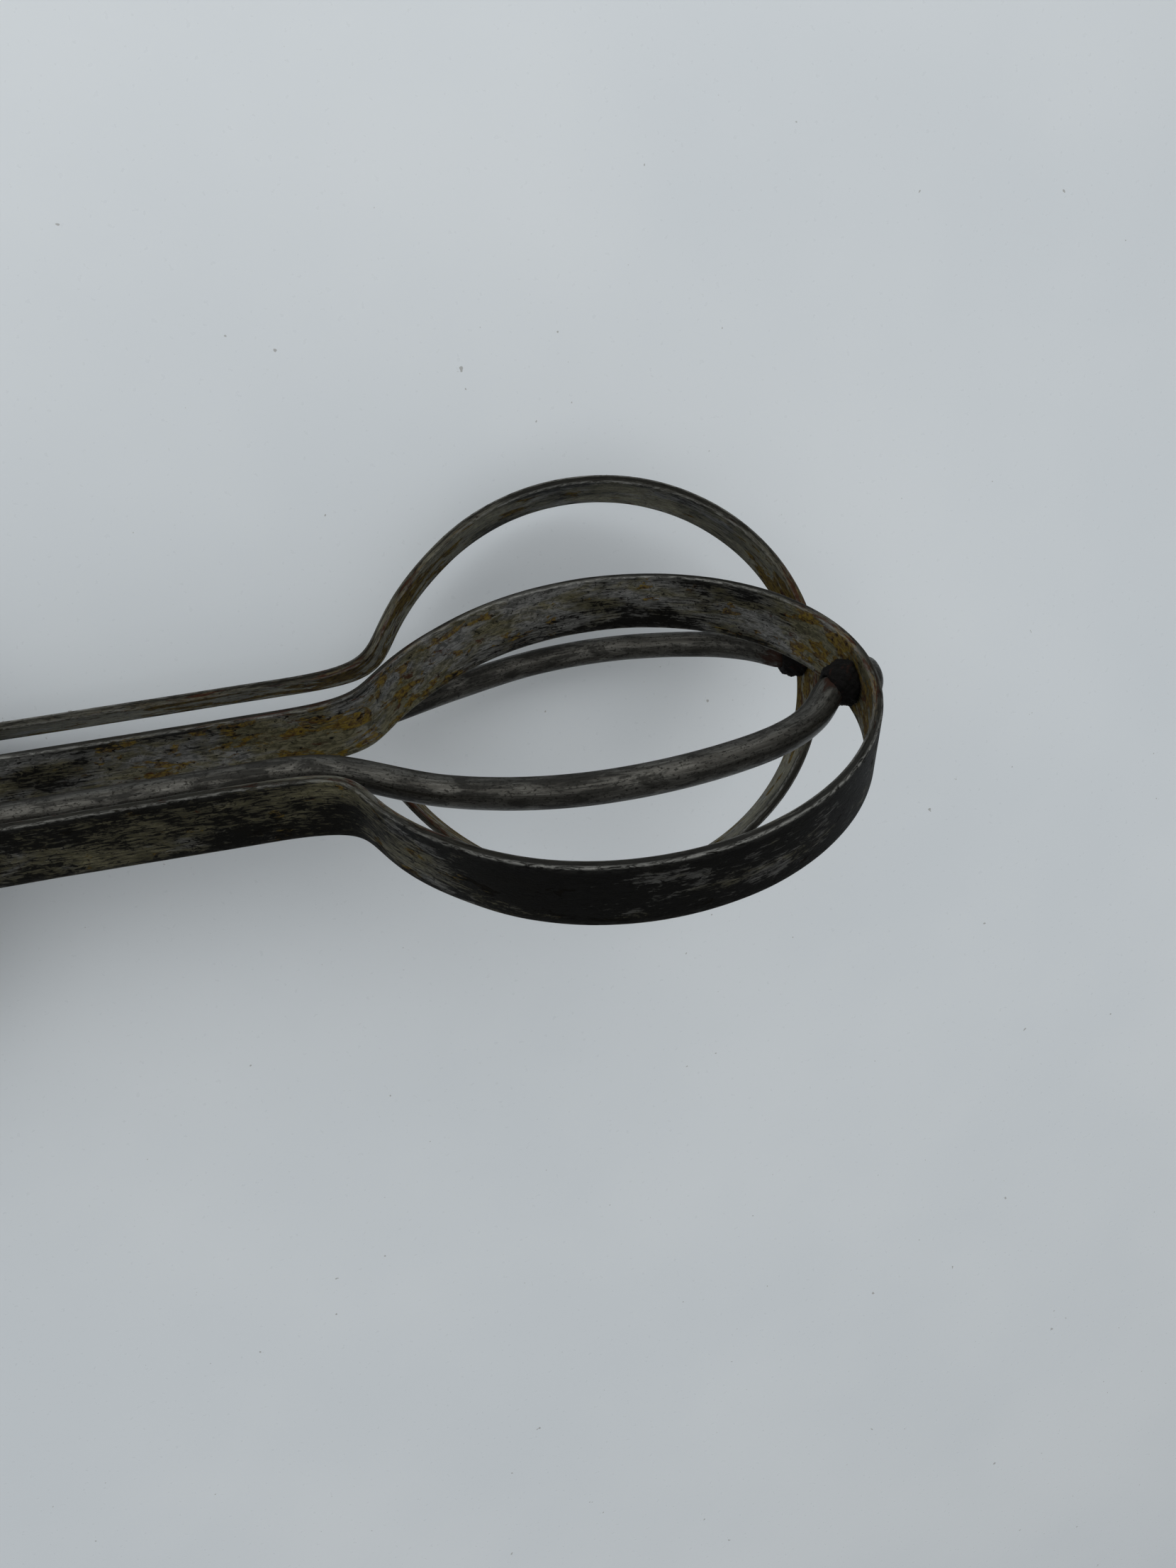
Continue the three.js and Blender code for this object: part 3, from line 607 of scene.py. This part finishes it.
def makeRod(label):
    s, out = side[label], strap["out"][label]
    straight = [(x, 0, 0) for x in (rod["start"], -150, -120, -96, -86)]
    line = throughPoints([(x + (out if x > rod["start"] else 0), -s * aside, s * (shaftUp + rise))
                          for x, rise, aside in straight + rod["bow"][label]])
    length = np.concatenate([[0], np.cumsum(np.linalg.norm(np.diff(line, axis=0), axis=1))])
    even = np.linspace(0, length[-1], int(length[-1] / rod["step"]))
    path = np.stack([np.interp(even, length, line[:, k]) for k in range(3)], -1)
    tangent = np.gradient(path, axis=0)
    tangent /= np.linalg.norm(tangent, axis=1)[:, None]
    # the wire, its rounded shoulder, the shank through the strap, then the domed head
    radius = rod["radius"] * (1 + 0.006 * smoothNoise(even, 5 + s, 7.0))
    shoulder = np.linspace(0, 1, 9)[1:]
    tipAxis = s * shaftUp
    shoulderPath = path[-1] + np.outer(shoulder * 2.2, tangent[-1])
    shoulderRadius = rod["radius"] * np.sqrt(1 - (0.72 * shoulder) ** 2)
    face = strap["thick"] / 2 + 0.12
    head = softProfile([(rod["shank"], -1.6), (rod["shank"], face), (3.3, face), (3.55, face + 0.7),
                        (3.0, face + 1.8), (1.8, face + 2.5), (0.4, face + 2.68),
                        (0.02, face + 2.7)], 0.5, 4)
    headPath = np.stack([head[:, 1] + out, 0 * head[:, 1], 0 * head[:, 1] + tipAxis], -1)
    path = np.vstack([path, shoulderPath, headPath])
    radius = np.concatenate([radius, shoulderRadius, head[:, 0]])
    tangent = np.vstack([tangent, np.repeat(tangent[-1:], len(shoulder), 0),
                         np.repeat([[1.0, 0, 0]], len(head), 0)])
    across = np.cross(tangent, [0, 1.0, 0])
    across /= np.linalg.norm(across, axis=1)[:, None]
    other = np.cross(tangent, across)
    angle = np.linspace(0, 2 * np.pi, rod["sides"], endpoint=False)
    lumpy = 1 + 0.035 * (path[:, :1] > out + face - 0.1) * np.sin(3 * angle + 1.1 + s)
    ring = radius[:, None] * lumpy
    rings = (path[:, None] + ring[..., None] * (np.cos(angle)[None, :, None] * across[:, None]
                                                - np.sin(angle)[None, :, None] * other[:, None]))
    run = np.concatenate([even, even[-1] + np.linspace(0.2, 6, len(path) - len(even))])
    grain = np.stack([np.repeat(run[:, None], len(angle), 1), ring * np.cos(angle),
                      ring * np.sin(angle)], -1)
    stain = np.repeat((hump(path[:, 0], -3, 5) + 0.25 * hump(path[:, 0], -84, 8))[:, None],
                      len(angle), 1)
    mesh = gridMesh("bowedRod_" + label, rings, grain, {"stain": stain})
    place("bowedRod_" + label, mesh, "frame", ["spindle_rod_" + label], rodLook)


def makeCollar(label):
    # a worn collar buried in baked dirt: a ring whose radius and ends are uneven
    s, out = side[label], strap["out"][label]
    back = -strap["thick"] / 2 - 0.08
    profile = softProfile([(1.62, back), (3.1, back), (3.7, back - 0.5), (3.7, back - 1.6),
                           (3.4, back - 2.6), (2.9, back - 3.7), (2.55, back - 4.2),
                           (1.62, back - 4.2)], 0.5, 5, True)

    def rugged(angle, height):
        lump = (np.sin(2 * angle + 1.3 * s) + 0.7 * np.sin(5 * angle + 2.1 * height + s)
                + 0.6 * np.sin(9 * angle - 3.3 * height) + 0.4 * np.sin(17 * angle + 5 * height)
                + 0.3 * np.sin(29 * angle - 7 * height))
        return 1 + 0.048 * lump

    rings = alongX(turnedRings(profile, 120, rugged), out, s * shaftUp)
    mesh = gridMesh("tipCollar_" + label, rings, loop=True)
    place("tipCollar_" + label, mesh, "frame", ["tip_collar_" + label], crudLook)


for label in side:
    makeRod(label)
    makeCollar(label)
print("rods made")


def turnedPiece(node, profile, body, look, axis="z", at=(0, 0, 0), sides=64, closed=False,
                soft=0.25, worn=None, roll=0.0):
    # a (radius, height) profile turned about its axis, rolled about the beater's length, then
    # moved to at; axis "x" and "y" stand the shape along the beater or across it
    p = softProfile(profile, soft, 3, closed)
    rings = turnedRings(p, sides)
    radius = np.repeat(p[:, :1], sides, 1)
    height = np.repeat(p[:, 1:], sides, 1)
    grain = np.stack([radius, height, 0 * radius], -1)
    if axis == "x":
        rings = alongX(rings)
    if axis == "y":
        rings = np.stack([rings[..., 0], rings[..., 2], -rings[..., 1]], -1)
    rings = rolled(rings, roll, at[2], at[0])
    rings[..., 1] += at[1]
    marks = {} if worn is None else {"worn": np.clip(worn(radius, height), 0, 1)}
    mesh = gridMesh(node, rings, grain, marks, closed)
    name = "".join(w if k == 0 else w.capitalize() for k, w in enumerate(node.split("_"))) + "Fine"
    place(name, mesh, body, [node], look)


# radii and lengths in mm
hardware = {
    "axle": 3.5, "thread": 2.6, "pitch": 0.9, "nutAcross": 10.7, "nutHeight": 4.0, "knobPin": 1.7,
    "pin": 0.8, "gap": 0.3, "prong": 3.0, "upperBoss": 5.6, "lowerBoss": 1.6, "headMiddle": 24.5,
    "headRise": 4.4, "footDrop": 8.5, "rivetInset": 2.8, "pinionWasher": 29.87,
}
bossTop = shaftUp + hardware["prong"] + hardware["upperBoss"]
bossFoot = shaftUp + hardware["prong"] + hardware["lowerBoss"]
crank = {"length": 36.0, "thick": 3.2, "low": bossTop + 1.2, "knob": 30.0}
crankHigh = crank["low"] + crank["thick"]
knobX = wheelX - crank["length"]
knobLow = crankHigh + 1.4    # over the knob's washer


def makeWasher(node, inner, outer, low, thick, at, body, axis="z"):
    # a stamped washer: rounded on the die side, very slightly dished
    profile = [(inner, low), (outer - 0.1, low + 0.04), (outer, low + thick), (inner + 0.1, low + thick)]
    turnedPiece(node, profile, body, turnedLook, axis, at, 72, True, 0.16)


def makeAxle():
    # headed pin; its threaded end is a screw of one start, the radius following a saw wave that
    # moves on by one pitch each turn
    foot = -bossFoot
    r, t, top = hardware["axle"], hardware["thread"], crankHigh + 6
    shoulder = crank["low"] - hardware["gap"]
    plain = softProfile([(0.02, foot - 2.2), (3.4, foot - 2), (5, foot - 1), (5.2, foot - 0.3),
                         (r, foot - 0.3), (r, shoulder), (t, shoulder), (t, crank["low"] + 0.4)], 0.3)
    rows = np.arange(crank["low"] + 0.5, top - 0.7, 0.11)
    end = np.array([(t - 0.35, top - 0.6), (1.9, top - 0.1), (1.2, top), (0.02, top)])
    profile = np.vstack([plain, np.stack([0 * rows + t - 0.03, rows], -1), end])

    def screw(angle, height):
        turn = height / hardware["pitch"] - angle / (2 * np.pi)
        fade = np.clip((height - crank["low"] - 0.5) / 0.8, 0, 1) * (height < top - 0.65)
        return 1 - 0.10 * fade * np.abs(2 * (turn % 1) - 1)

    sides = 72
    rings = turnedRings(profile, sides, screw)
    grain = np.stack([np.hypot(rings[..., 0], rings[..., 1]), rings[..., 2], 0 * rings[..., 0]], -1)
    rings[..., 0] += wheelX
    worn = (rings[..., 2] > crank["low"]) * 0.5
    mesh = gridMesh("axlePinFine", rings, grain, {"worn": worn})
    place("axlePinFine", mesh, "wheel", ["axle_pin"], turnedLook)


def makeNut():
    # six flats: the radius is the flat's distance over the cosine of the angle from its middle,
    # cut back by a chamfer cone at both ends
    flat, h = hardware["nutAcross"] / 2, hardware["nutHeight"]
    low = crankHigh + hardware["gap"]
    bore = hardware["thread"] + hardware["gap"]
    height = np.array([0, 0.12, 0.35, 0.7, 1.1, h - 1.1, h - 0.7, h - 0.35, h - 0.12, h])
    angle = np.linspace(0, 2 * np.pi, 144, endpoint=False)[None, :]
    hexagon = flat / np.cos((angle % (np.pi / 3)) - np.pi / 6)
    hexagon = np.minimum(hexagon, flat * 1.135)
    edge = np.minimum(height, h - height)[:, None]
    cone = flat * 0.985 + 1.9 * edge
    radius = np.minimum(hexagon, cone)
    inside = np.array([(bore + 0.35, h), (bore, h - 0.35), (bore, 0.35), (bore + 0.35, 0)])
    radius = np.vstack([radius, np.repeat(inside[:, :1], 144, 1)])
    z = np.repeat(np.concatenate([height, inside[:, 1]])[:, None], 144, 1) + low
    rings = np.stack([radius * np.cos(angle) + wheelX, radius * np.sin(angle), z], -1)
    grain = np.stack([z, radius * np.cos(angle), radius * np.sin(angle)], -1)
    worn = np.clip((radius - flat * 1.08) / 0.4, 0, 1)
    mesh = gridMesh("crankNutFine", rings, grain, {"worn": worn}, True)
    place("crankNutFine", mesh, "wheel", ["crank_nut"], turnedLook)


def makeKnob():
    # turned hardwood grip with a collar, two cut lines and a full belly
    low, bore, length = knobLow, hardware["knobPin"] + hardware["gap"], crank["knob"]
    t = np.linspace(0, 1, 44)
    belly = 4.95 + 3.65 * np.sin(np.pi * np.clip((t - 0.10) / 1.02, 0, 1) ** 1.35) ** 1.15
    belly = belly - 0.5 * t ** 6
    rows = np.stack([belly, low + 4.2 + t * (length - 5.6)], -1)
    for cutAt in (0.50, 0.56):
        rows[:, 0] -= 0.28 * np.exp(-((t - cutAt) / 0.008) ** 2)
    foot = [(bore, low), (4.7, low), (5.25, low + 0.6), (5.3, low + 1.7), (4.75, low + 2.4),
            (4.55, low + 3.2)]
    crown = [(4.3, low + length - 0.4), (3.6, low + length), (bore, low + length)]
    profile = np.vstack([foot, rows, crown])
    sides = 80
    rings = turnedRings(softProfile(profile, 0.3, 2, True), sides)
    radius = np.hypot(rings[..., 0], rings[..., 1])
    worn = np.clip((radius - 6.8) / 1.6, 0, 1)
    rings[..., 0] += knobX
    mesh = gridMesh("crankKnobFine", rings, None, {"worn": worn}, True)
    place("crankKnobFine", mesh, "knob", ["crank_knob"], woodLook)


def makeHardware():
    h = hardware
    middle = (wheelX, 0, 0)
    makeWasher("axle_washer_upper", h["axle"] + h["gap"], 7.6, 8.2, 0.42, middle, "frame")
    makeWasher("axle_washer_lower", h["axle"] + h["gap"], 7.6, 3.1 - shaftUp, 0.42, middle, "frame")
    makeWasher("crank_washer", h["axle"] + h["gap"], 7.2, bossTop + 0.22, 0.56, middle, "wheel")
    makeWasher("knob_washer", h["knobPin"] + h["gap"], 4.6, crankHigh + 0.37, 0.66, (knobX, 0, 0),
               "wheel")
    top = knobLow + crank["knob"]
    low = crank["low"]
    turnedPiece("knob_pin", [(0.02, low - 1.6), (2, low - 1.5), (3.2, low - 0.5), (3.2, low - 0.3),
                             (1.7, low - 0.3), (1.7, top + 0.3), (3.4, top + 0.3), (3.2, top + 1),
                             (2, top + 1.6), (0.02, top + 1.7)],
                "wheel", turnedLook, at=(knobX, 0, 0), sides=48, soft=0.35,
                worn=lambda r, z: (z > top) * (1 - r / 3.6))
    for label, s in side.items():
        depth = h["headRise"] if s > 0 else h["footDrop"]
        a, b = sorted((s * (shaftUp - 4.4), s * (shaftUp + depth - 0.4)))
        turnedPiece("rod_pin_" + label, [(0.02, a), (0.6, a), (h["pin"], a + 0.25),
                                         (h["pin"], b - 0.3), (0.55, b), (0.02, b)],
                    "frame", turnedLook, at=(wheelX + h["headMiddle"], 0, 0),
                    sides=32, soft=0.12)
        makeWasher("pinion_washer_" + label, rod["radius"] + h["gap"], 4.8,
                   wheelX + h["pinionWasher"], 0.56, (0, 0, s * shaftUp), "frame", "x")
        out = strap["out"][label]
        face = strap["neckHalf"] + strap["thick"] / 2 + 0.1
        inner = rod["radius"] + 1.3
        for letter, way in (("a", 1), ("b", -1)):
            profile = np.array([(0.02, inner), (1.2, inner), (1.2, face), (2.85, face),
                                (2.6, face + 0.85), (1.7, face + 1.35), (0.8, face + 1.52),
                                (0.02, face + 1.58)])
            # the roll is measured about the shaft, so the rivet is first stood across the beater
            turnedPiece(f"strap_rivet_{label}_{letter}", profile * [1, way], "dasher_" + label,
                        turnedLook, axis="y",
                        at=(strap["neckEnd"] + h["rivetInset"] + out, 0, s * shaftUp), sides=40,
                        soft=0.3, roll=strap["turn"][label],
                        worn=lambda r, z: (abs(z) > face + 1) * 0.7)


makeHardware()
makeAxle()
makeNut()
makeKnob()
print("pins, washers, rivets, nut and knob made")

# the wheel with teeth on both faces and its two pinions, lengths in mm
gear = {
    "radius": 36.0, "half": 3.5, "inner": 31.2, "outer": 41.0, "teeth": 60, "pinionTeeth": 10,
    "pinion": 6.0, "tip": 0.96, "root": 1.2, "flank": 25.0, "thinning": 0.15,
    "nose": 4.2, "back": 5.2, "blockHalf": 4.7, "blockLength": 5.6, "spokes": 5, "spokeHalf": 2.4,
}


def toothHeight(across, halfPitch):
    # height over the pitch line of a straight-flanked tooth, its corners eased; across is the
    # distance from the tooth's middle
    g = gear
    slope = (halfPitch - np.abs(across)) / math.tan(math.radians(g["flank"]))
    mid, half = (g["tip"] - g["root"]) / 2, (g["tip"] + g["root"]) / 2
    reach = (slope - mid) / half
    eased = reach / (1 + np.abs(reach) ** 12) ** (1 / 12)
    return mid + half * eased


def makeWheelRim():
    # the crown teeth shrink towards the apex on the wheel's axis at shaft height, so a face point
    # stands at shaft height less its radius over the pitch radius times (pinion radius - height)
    g = gear
    pitch = 2 * math.pi * g["radius"] / g["teeth"]
    halfPitch = pitch / 4 - g["thinning"]
    knots = np.array([0, 0.18, 0.28, 0.33, 0.37, 0.45, 0.62, 0.85, 1.1, 1.27, 1.35, 1.43, 1.55, 1.72])
    oneTooth = np.concatenate([-knots[:0:-1], knots, [pitch / 2]])
    across = np.tile(oneTooth, g["teeth"])
    angle = (np.repeat(np.arange(g["teeth"]), len(oneTooth)) * pitch + across) / g["radius"]
    high = toothHeight(across, halfPitch)
    near, far = g["radius"] - g["half"], g["radius"] + g["half"]
    inner, outer = g["inner"], g["outer"]
    radii = np.array([inner, inner + 0.12, inner + 0.4, near - 0.35, near - 0.06, near + 0.04,
                      near + 0.10, near + 0.22, near + 0.5, near + 1.7, near + 3.5, far - 1.7,
                      far - 0.5, far - 0.22, far - 0.10, far - 0.04, far + 0.06, far + 0.35,
                      outer - 0.4, outer - 0.12, outer])
    share = np.clip(np.minimum(radii - near + 0.06, far + 0.06 - radii) / 0.28, 0, 1)
    share = share * share * (3 - 2 * share)
    ease = np.clip(np.minimum(radii - inner, outer - radii) / 0.4, 0, 1)
    drop = 0.35 * (1 - np.sqrt(1 - (1 - ease) ** 2))
    level = -g["root"] + share[:, None] * (high[None, :] + g["root"])
    top = shaftUp - radii[:, None] / g["radius"] * (g["pinion"] - level) - drop[:, None]
    wall = np.linspace(1, -1, 7)[1:-1, None]
    outside = top[-1:] * wall
    inside = top[:1] * -wall
    z = np.vstack([top, outside, -top[::-1], inside])
    flat = 0 * wall[:, 0]
    r = np.concatenate([radii, flat + outer, radii[::-1], flat + inner - 0.02])[:, None]
    r = r - 0.04 * (1.2 + smoothNoise(angle[None, :] * 40, 4, 9.0)) * (np.abs(r - outer) < 0.3)
    rings = np.stack([r * np.cos(angle) + wheelX, r * np.sin(angle), z + 0 * r], -1)
    crest = np.clip((level - 0.45) / 0.4, 0, 1) * share[:, None]
    bare = np.zeros_like(outside)
    worn = np.vstack([crest, bare, crest[::-1], bare]) * 0.8
    mesh = gridMesh("wheelRim", rings, None, {"worn": worn}, True)
    place("wheelRim", mesh, "wheel", ["drive_wheel"], castLook)


def makeWheelHub():
    # bored hub with a bead at each end
    bore = hardware["axle"] + hardware["gap"]
    profile = [(bore, -8.1), (7.6, -8.1), (8.4, -7.6), (8.5, -6.3), (9.2, -5.2), (9.2, 5.2),
               (8.5, 6.3), (8.4, 7.6), (7.6, 8.1), (bore, 8.1)]
    rings = turnedRings(softProfile(profile, 0.5, 4, True), 72)
    rings[..., 0] += wheelX
    mesh = gridMesh("wheelHub", rings, None, None, True)
    place("wheelHub", mesh, "wheel", ["drive_wheel"], castLook)


def makeWheelSpoke(number):
    # a flat oval arm whose half width swells with about the cube of the way out from its middle to
    # both ends, where it runs into the hub and the rim
    r = np.concatenate([np.linspace(7, 31.9, 70), [32.0]])
    way = (r - 19.5) / 12.5
    half = gear["spokeHalf"] + 3.4 * np.abs(way) ** 3.2 * (way > 0) + 3.0 * np.abs(way) ** 2.6 * (way < 0)
    thick = 2.1 + 0.9 * np.abs(way) ** 3
    turn = np.linspace(0, 2 * np.pi, 40, endpoint=False)[None, :]
    c, s = np.cos(turn), np.sin(turn)
    y = half[:, None] * np.sign(c) * np.abs(c) ** 0.62
    z = thick[:, None] * np.sign(s) * np.abs(s) ** 0.62
    x = r[:, None] + 0 * y
    angle = (number + 0.5) * 2 * math.pi / gear["spokes"]
    rings = np.stack([x * math.cos(angle) - y * math.sin(angle) + wheelX,
                      x * math.sin(angle) + y * math.cos(angle), z], -1)
    ridge = np.clip(np.abs(c * s) * 2 - 0.7, 0, 1) * (np.abs(way) < 0.9)[:, None]
    mesh = gridMesh(f"wheelSpoke{number + 1}", rings, None, {"worn": ridge * 1.2})
    place(f"wheelSpoke{number + 1}", mesh, "wheel", ["drive_wheel"], castLook)


def makePinion(label):
    # the radius is a function of place along the shaft and angle: bevel teeth that shrink
    # towards the wheel's axis, a plain hub, and a block between the strap ends; a bore runs through
    g, s = gear, side[label]
    count = 36 * g["pinionTeeth"]
    angle = np.linspace(0, 2 * np.pi, count, endpoint=False)[None, :]
    pitchAngle = 2 * np.pi / g["pinionTeeth"]
    # a tooth stands at every whole pitch from across the beater, so a gap faces the wheel
    off = (angle + pitchAngle / 2) % pitchAngle - pitchAngle / 2
    # half a tooth's angle at each radius: its share of the pitch circle, less the involute's angle
    radii = np.linspace(g["pinion"] - g["root"], g["pinion"] + g["tip"], 24)
    base = g["pinion"] * math.cos(math.radians(g["flank"]))

    def involute(radius):
        a = np.arccos(np.minimum(1, base / radius))
        return np.tan(a) - a + 0.02 * np.minimum(0, radius - base)

    half = (pitchAngle / 4 - g["thinning"] / g["pinion"]
            + involute(g["pinion"]) - involute(radii))
    ratio = np.interp(np.abs(off), half[::-1], radii[::-1])
    start, stop = wheelX + g["radius"] - g["half"], wheelX + g["radius"] + g["half"]
    rows = []
    for x in (start - 1.2, start - 1.15, start - 0.9):
        rows.append((x, g["nose"] - max(0, start - 0.95 - x) + 0 * angle))
    for x in (start, start + 0.02, start + 0.12, start + 0.35, start + 1.5, stop - 0.35,
              stop - 0.12, stop - 0.02):
        inset = 0.12 - min(abs(x - start), abs(stop - x), 0.12)
        rows.append((x, (x - wheelX) / g["radius"] * ratio - inset))
    end = strap["neckEnd"] + g["blockLength"]
    for x in (stop + 0.02, stop + 0.2, strap["neckEnd"] - 0.6):
        rows.append((x, g["back"] + 0 * angle))
    wide = strap["neckHalf"] - strap["thick"] / 2 - hardware["gap"]
    roll = math.radians(strap["turn"][label])
    c, q = np.abs(np.cos(angle - roll)), np.abs(np.sin(angle - roll))
    # the block's outline: the 14th powers of its two shares add up to one
    square = ((c / wide) ** 14 + (q / g["blockHalf"]) ** 14) ** (-1 / 14)
    for x, shrink in ((strap["neckEnd"] - 0.4, 0.35), (strap["neckEnd"] - 0.3, 0.1),
                      (strap["neckEnd"] - 0.05, 0), (end - 0.35, 0), (end - 0.1, 0.1), (end, 0.35)):
        rows.append((x, square - shrink))
    bore = rod["radius"] + hardware["gap"]
    for x, r in ((end, bore + 0.3), (end - 0.3, bore), (start - 0.9, bore), (start - 1.2, bore + 0.3)):
        rows.append((x, r + 0 * angle))
    x = np.array([row[0] for row in rows], float)[:, None] + 0 * angle
    r = np.vstack([row[1] for row in rows])
    rings = np.stack([x, r * np.cos(angle), r * np.sin(angle) + s * shaftUp], -1)
    crest = (r > 6.2) * (x < stop) * 0.8
    mesh = gridMesh("pinionFine_" + label, rings, None, {"worn": crest}, True)
    place("pinionFine_" + label, mesh, "dasher_" + label, ["pinion_" + label], castLook)


makeWheelRim()
makeWheelHub()
for number in range(gear["spokes"]):
    makeWheelSpoke(number)
for label in side:
    makePinion(label)
print("wheel and pinions made")

# the frame with its handle, and the crank; voxel size and skin depth in mm
casting = {
    "frame_casting": {"name": "frameCast", "body": "frame", "voxel": 0.62, "relax": 7, "skin": 0.09},
    "crank_arm": {"name": "crankCast", "body": "wheel", "voxel": 0.36, "relax": 6, "skin": 0.05},
}


def wearFromShape(mesh, points, normals):
    # how far a vertex stands out past the mean of its neighbours, blurred: worn corners
    a, b = readAll(mesh.edges, "vertices", 2, int).T
    near = np.bincount(np.concatenate([a, b]), minlength=len(points))[:, None]

    def spread(values):
        total = np.zeros_like(values)
        np.add.at(total, a, values[b])
        np.add.at(total, b, values[a])
        return total / near

    mean = points
    for _ in range(3):
        mean = spread(mean)
    proud = np.einsum("ij,ij->i", points - mean, normals)[:, None]
    for _ in range(2):
        proud = spread(proud)
    return proud[:, 0]


def makeCasting(nodeName):
    # a merged copy of the plain solid, remeshed to small even faces, eased, then given the
    # uneven skin of a sand mould by a sum of waves in three directions
    c = casting[nodeName]
    data = frame["nodes"][nodeName].data.copy()
    work = bmesh.new()
    work.from_mesh(data)
    bmesh.ops.remove_doubles(work, verts=work.verts, dist=1e-6)
    work.to_mesh(data)
    work.free()
    piece = bpy.data.objects.new(c["name"], data)
    bpy.context.scene.collection.objects.link(piece)
    remesh = piece.modifiers.new("even", "REMESH")
    remesh.mode = "VOXEL"
    remesh.voxel_size = c["voxel"] * mm
    ease = piece.modifiers.new("ease", "SMOOTH")
    ease.factor = 0.5
    ease.iterations = c["relax"]
    depsgraph = bpy.context.evaluated_depsgraph_get()
    mesh = bpy.data.meshes.new_from_object(piece.evaluated_get(depsgraph))
    bpy.data.objects.remove(piece)
    points = readAll(mesh.vertices, "co", 3)
    normals = readAll(mesh.vertices, "normal", 3)
    proud = wearFromShape(mesh, points, normals)
    waves = np.random.default_rng(7).normal(0, 1, (9, 4)) * [520, 520, 520, 3]
    skin = np.sin(points @ waves[:, :3].T + waves[:, 3]).sum(1) / 9
    points = points + normals * (skin[:, None] * c["skin"] * mm)
    mesh.vertices.foreach_set("co", points.ravel())
    addMark(mesh, "worn", np.clip((proud / mm - 0.045) / 0.10, 0, 1))
    mesh.polygons.foreach_set("use_smooth", np.ones(len(mesh.polygons), bool))
    mesh.materials.clear()
    mesh.name = c["name"]
    mesh.update()
    place(c["name"], mesh, c["body"], [nodeName], castLook)
    print(nodeName, "faces", len(mesh.polygons))


for nodeName in casting:
    makeCasting(nodeName)
print("castings made")

# metres and watts; the table's drop keeps it clear of the beater's two resting edges
studio = {
    "tableHalf": 2, "tableDrop": 0.0002, "aim": (0.08, 0, 0.02), "tint": (0.99, 1.0, 1.0),
    "windowBox": {"at": (-0.1, 1.15, 0.92), "size": (3.2, 1.8), "watts": 20.5},
    "ceilingBox": {"at": (0.1, 0.15, 1.4), "size": (2.6, 2.2), "watts": 4.5},
    "room": (0.86, 0.885, 0.90, 1), "roomStrength": 0.36,
}
half = studio["tableHalf"]
table = bpy.data.meshes.new("tableTop")
table.from_pydata([(-half, -half, 0), (half, -half, 0), (half, half, 0), (-half, half, 0)], [],
                  [(0, 1, 2, 3)])
table.materials.append(makeTableTop())
tableTop = bpy.data.objects.new("tableTop", table)
bpy.context.scene.collection.objects.link(tableTop)
tableTop.location = (0, 0, -studio["tableDrop"])


def softBox(name):
    box = studio[name]
    data = bpy.data.lights.new(name, "AREA")
    data.shape = "RECTANGLE"
    data.size, data.size_y = box["size"]
    data.energy = box["watts"]
    data.color = studio["tint"]
    lamp = bpy.data.objects.new(name, data)
    lamp.location = box["at"]
    away = Vector(box["at"]) - Vector(studio["aim"])
    lamp.rotation_euler = away.to_track_quat("Z", "Y").to_euler()
    bpy.context.scene.collection.objects.link(lamp)


softBox("windowBox")
softBox("ceilingBox")

world = bpy.data.worlds.new("softRoom")
world.use_nodes = True
backdrop = world.node_tree.nodes["Background"]
backdrop.inputs["Color"].default_value = studio["room"]
backdrop.inputs["Strength"].default_value = studio["roomStrength"]
bpy.context.scene.world = world
bpy.context.scene.view_settings.view_transform = "Standard"

# lens and sensor in mm, place in metres, turn in degrees
viewpoint = {
    "lens": 20.683, "sensor": 36, "near": 0.01, "at": (0.090365, 0.034923, 0.177174),
    "turn": (-17.1261, -12.1205, -8.0243),
}
camera = bpy.data.cameras.new("camera")
camera.lens = viewpoint["lens"]
camera.sensor_width = viewpoint["sensor"]
camera.clip_start = viewpoint["near"]
cameraObject = bpy.data.objects.new("camera", camera)
cameraObject.location = viewpoint["at"]
cameraObject.rotation_euler = Euler([math.radians(a) for a in viewpoint["turn"]])
bpy.context.scene.collection.objects.link(cameraObject)
bpy.context.scene.camera = cameraObject
print("table, lights and camera made")
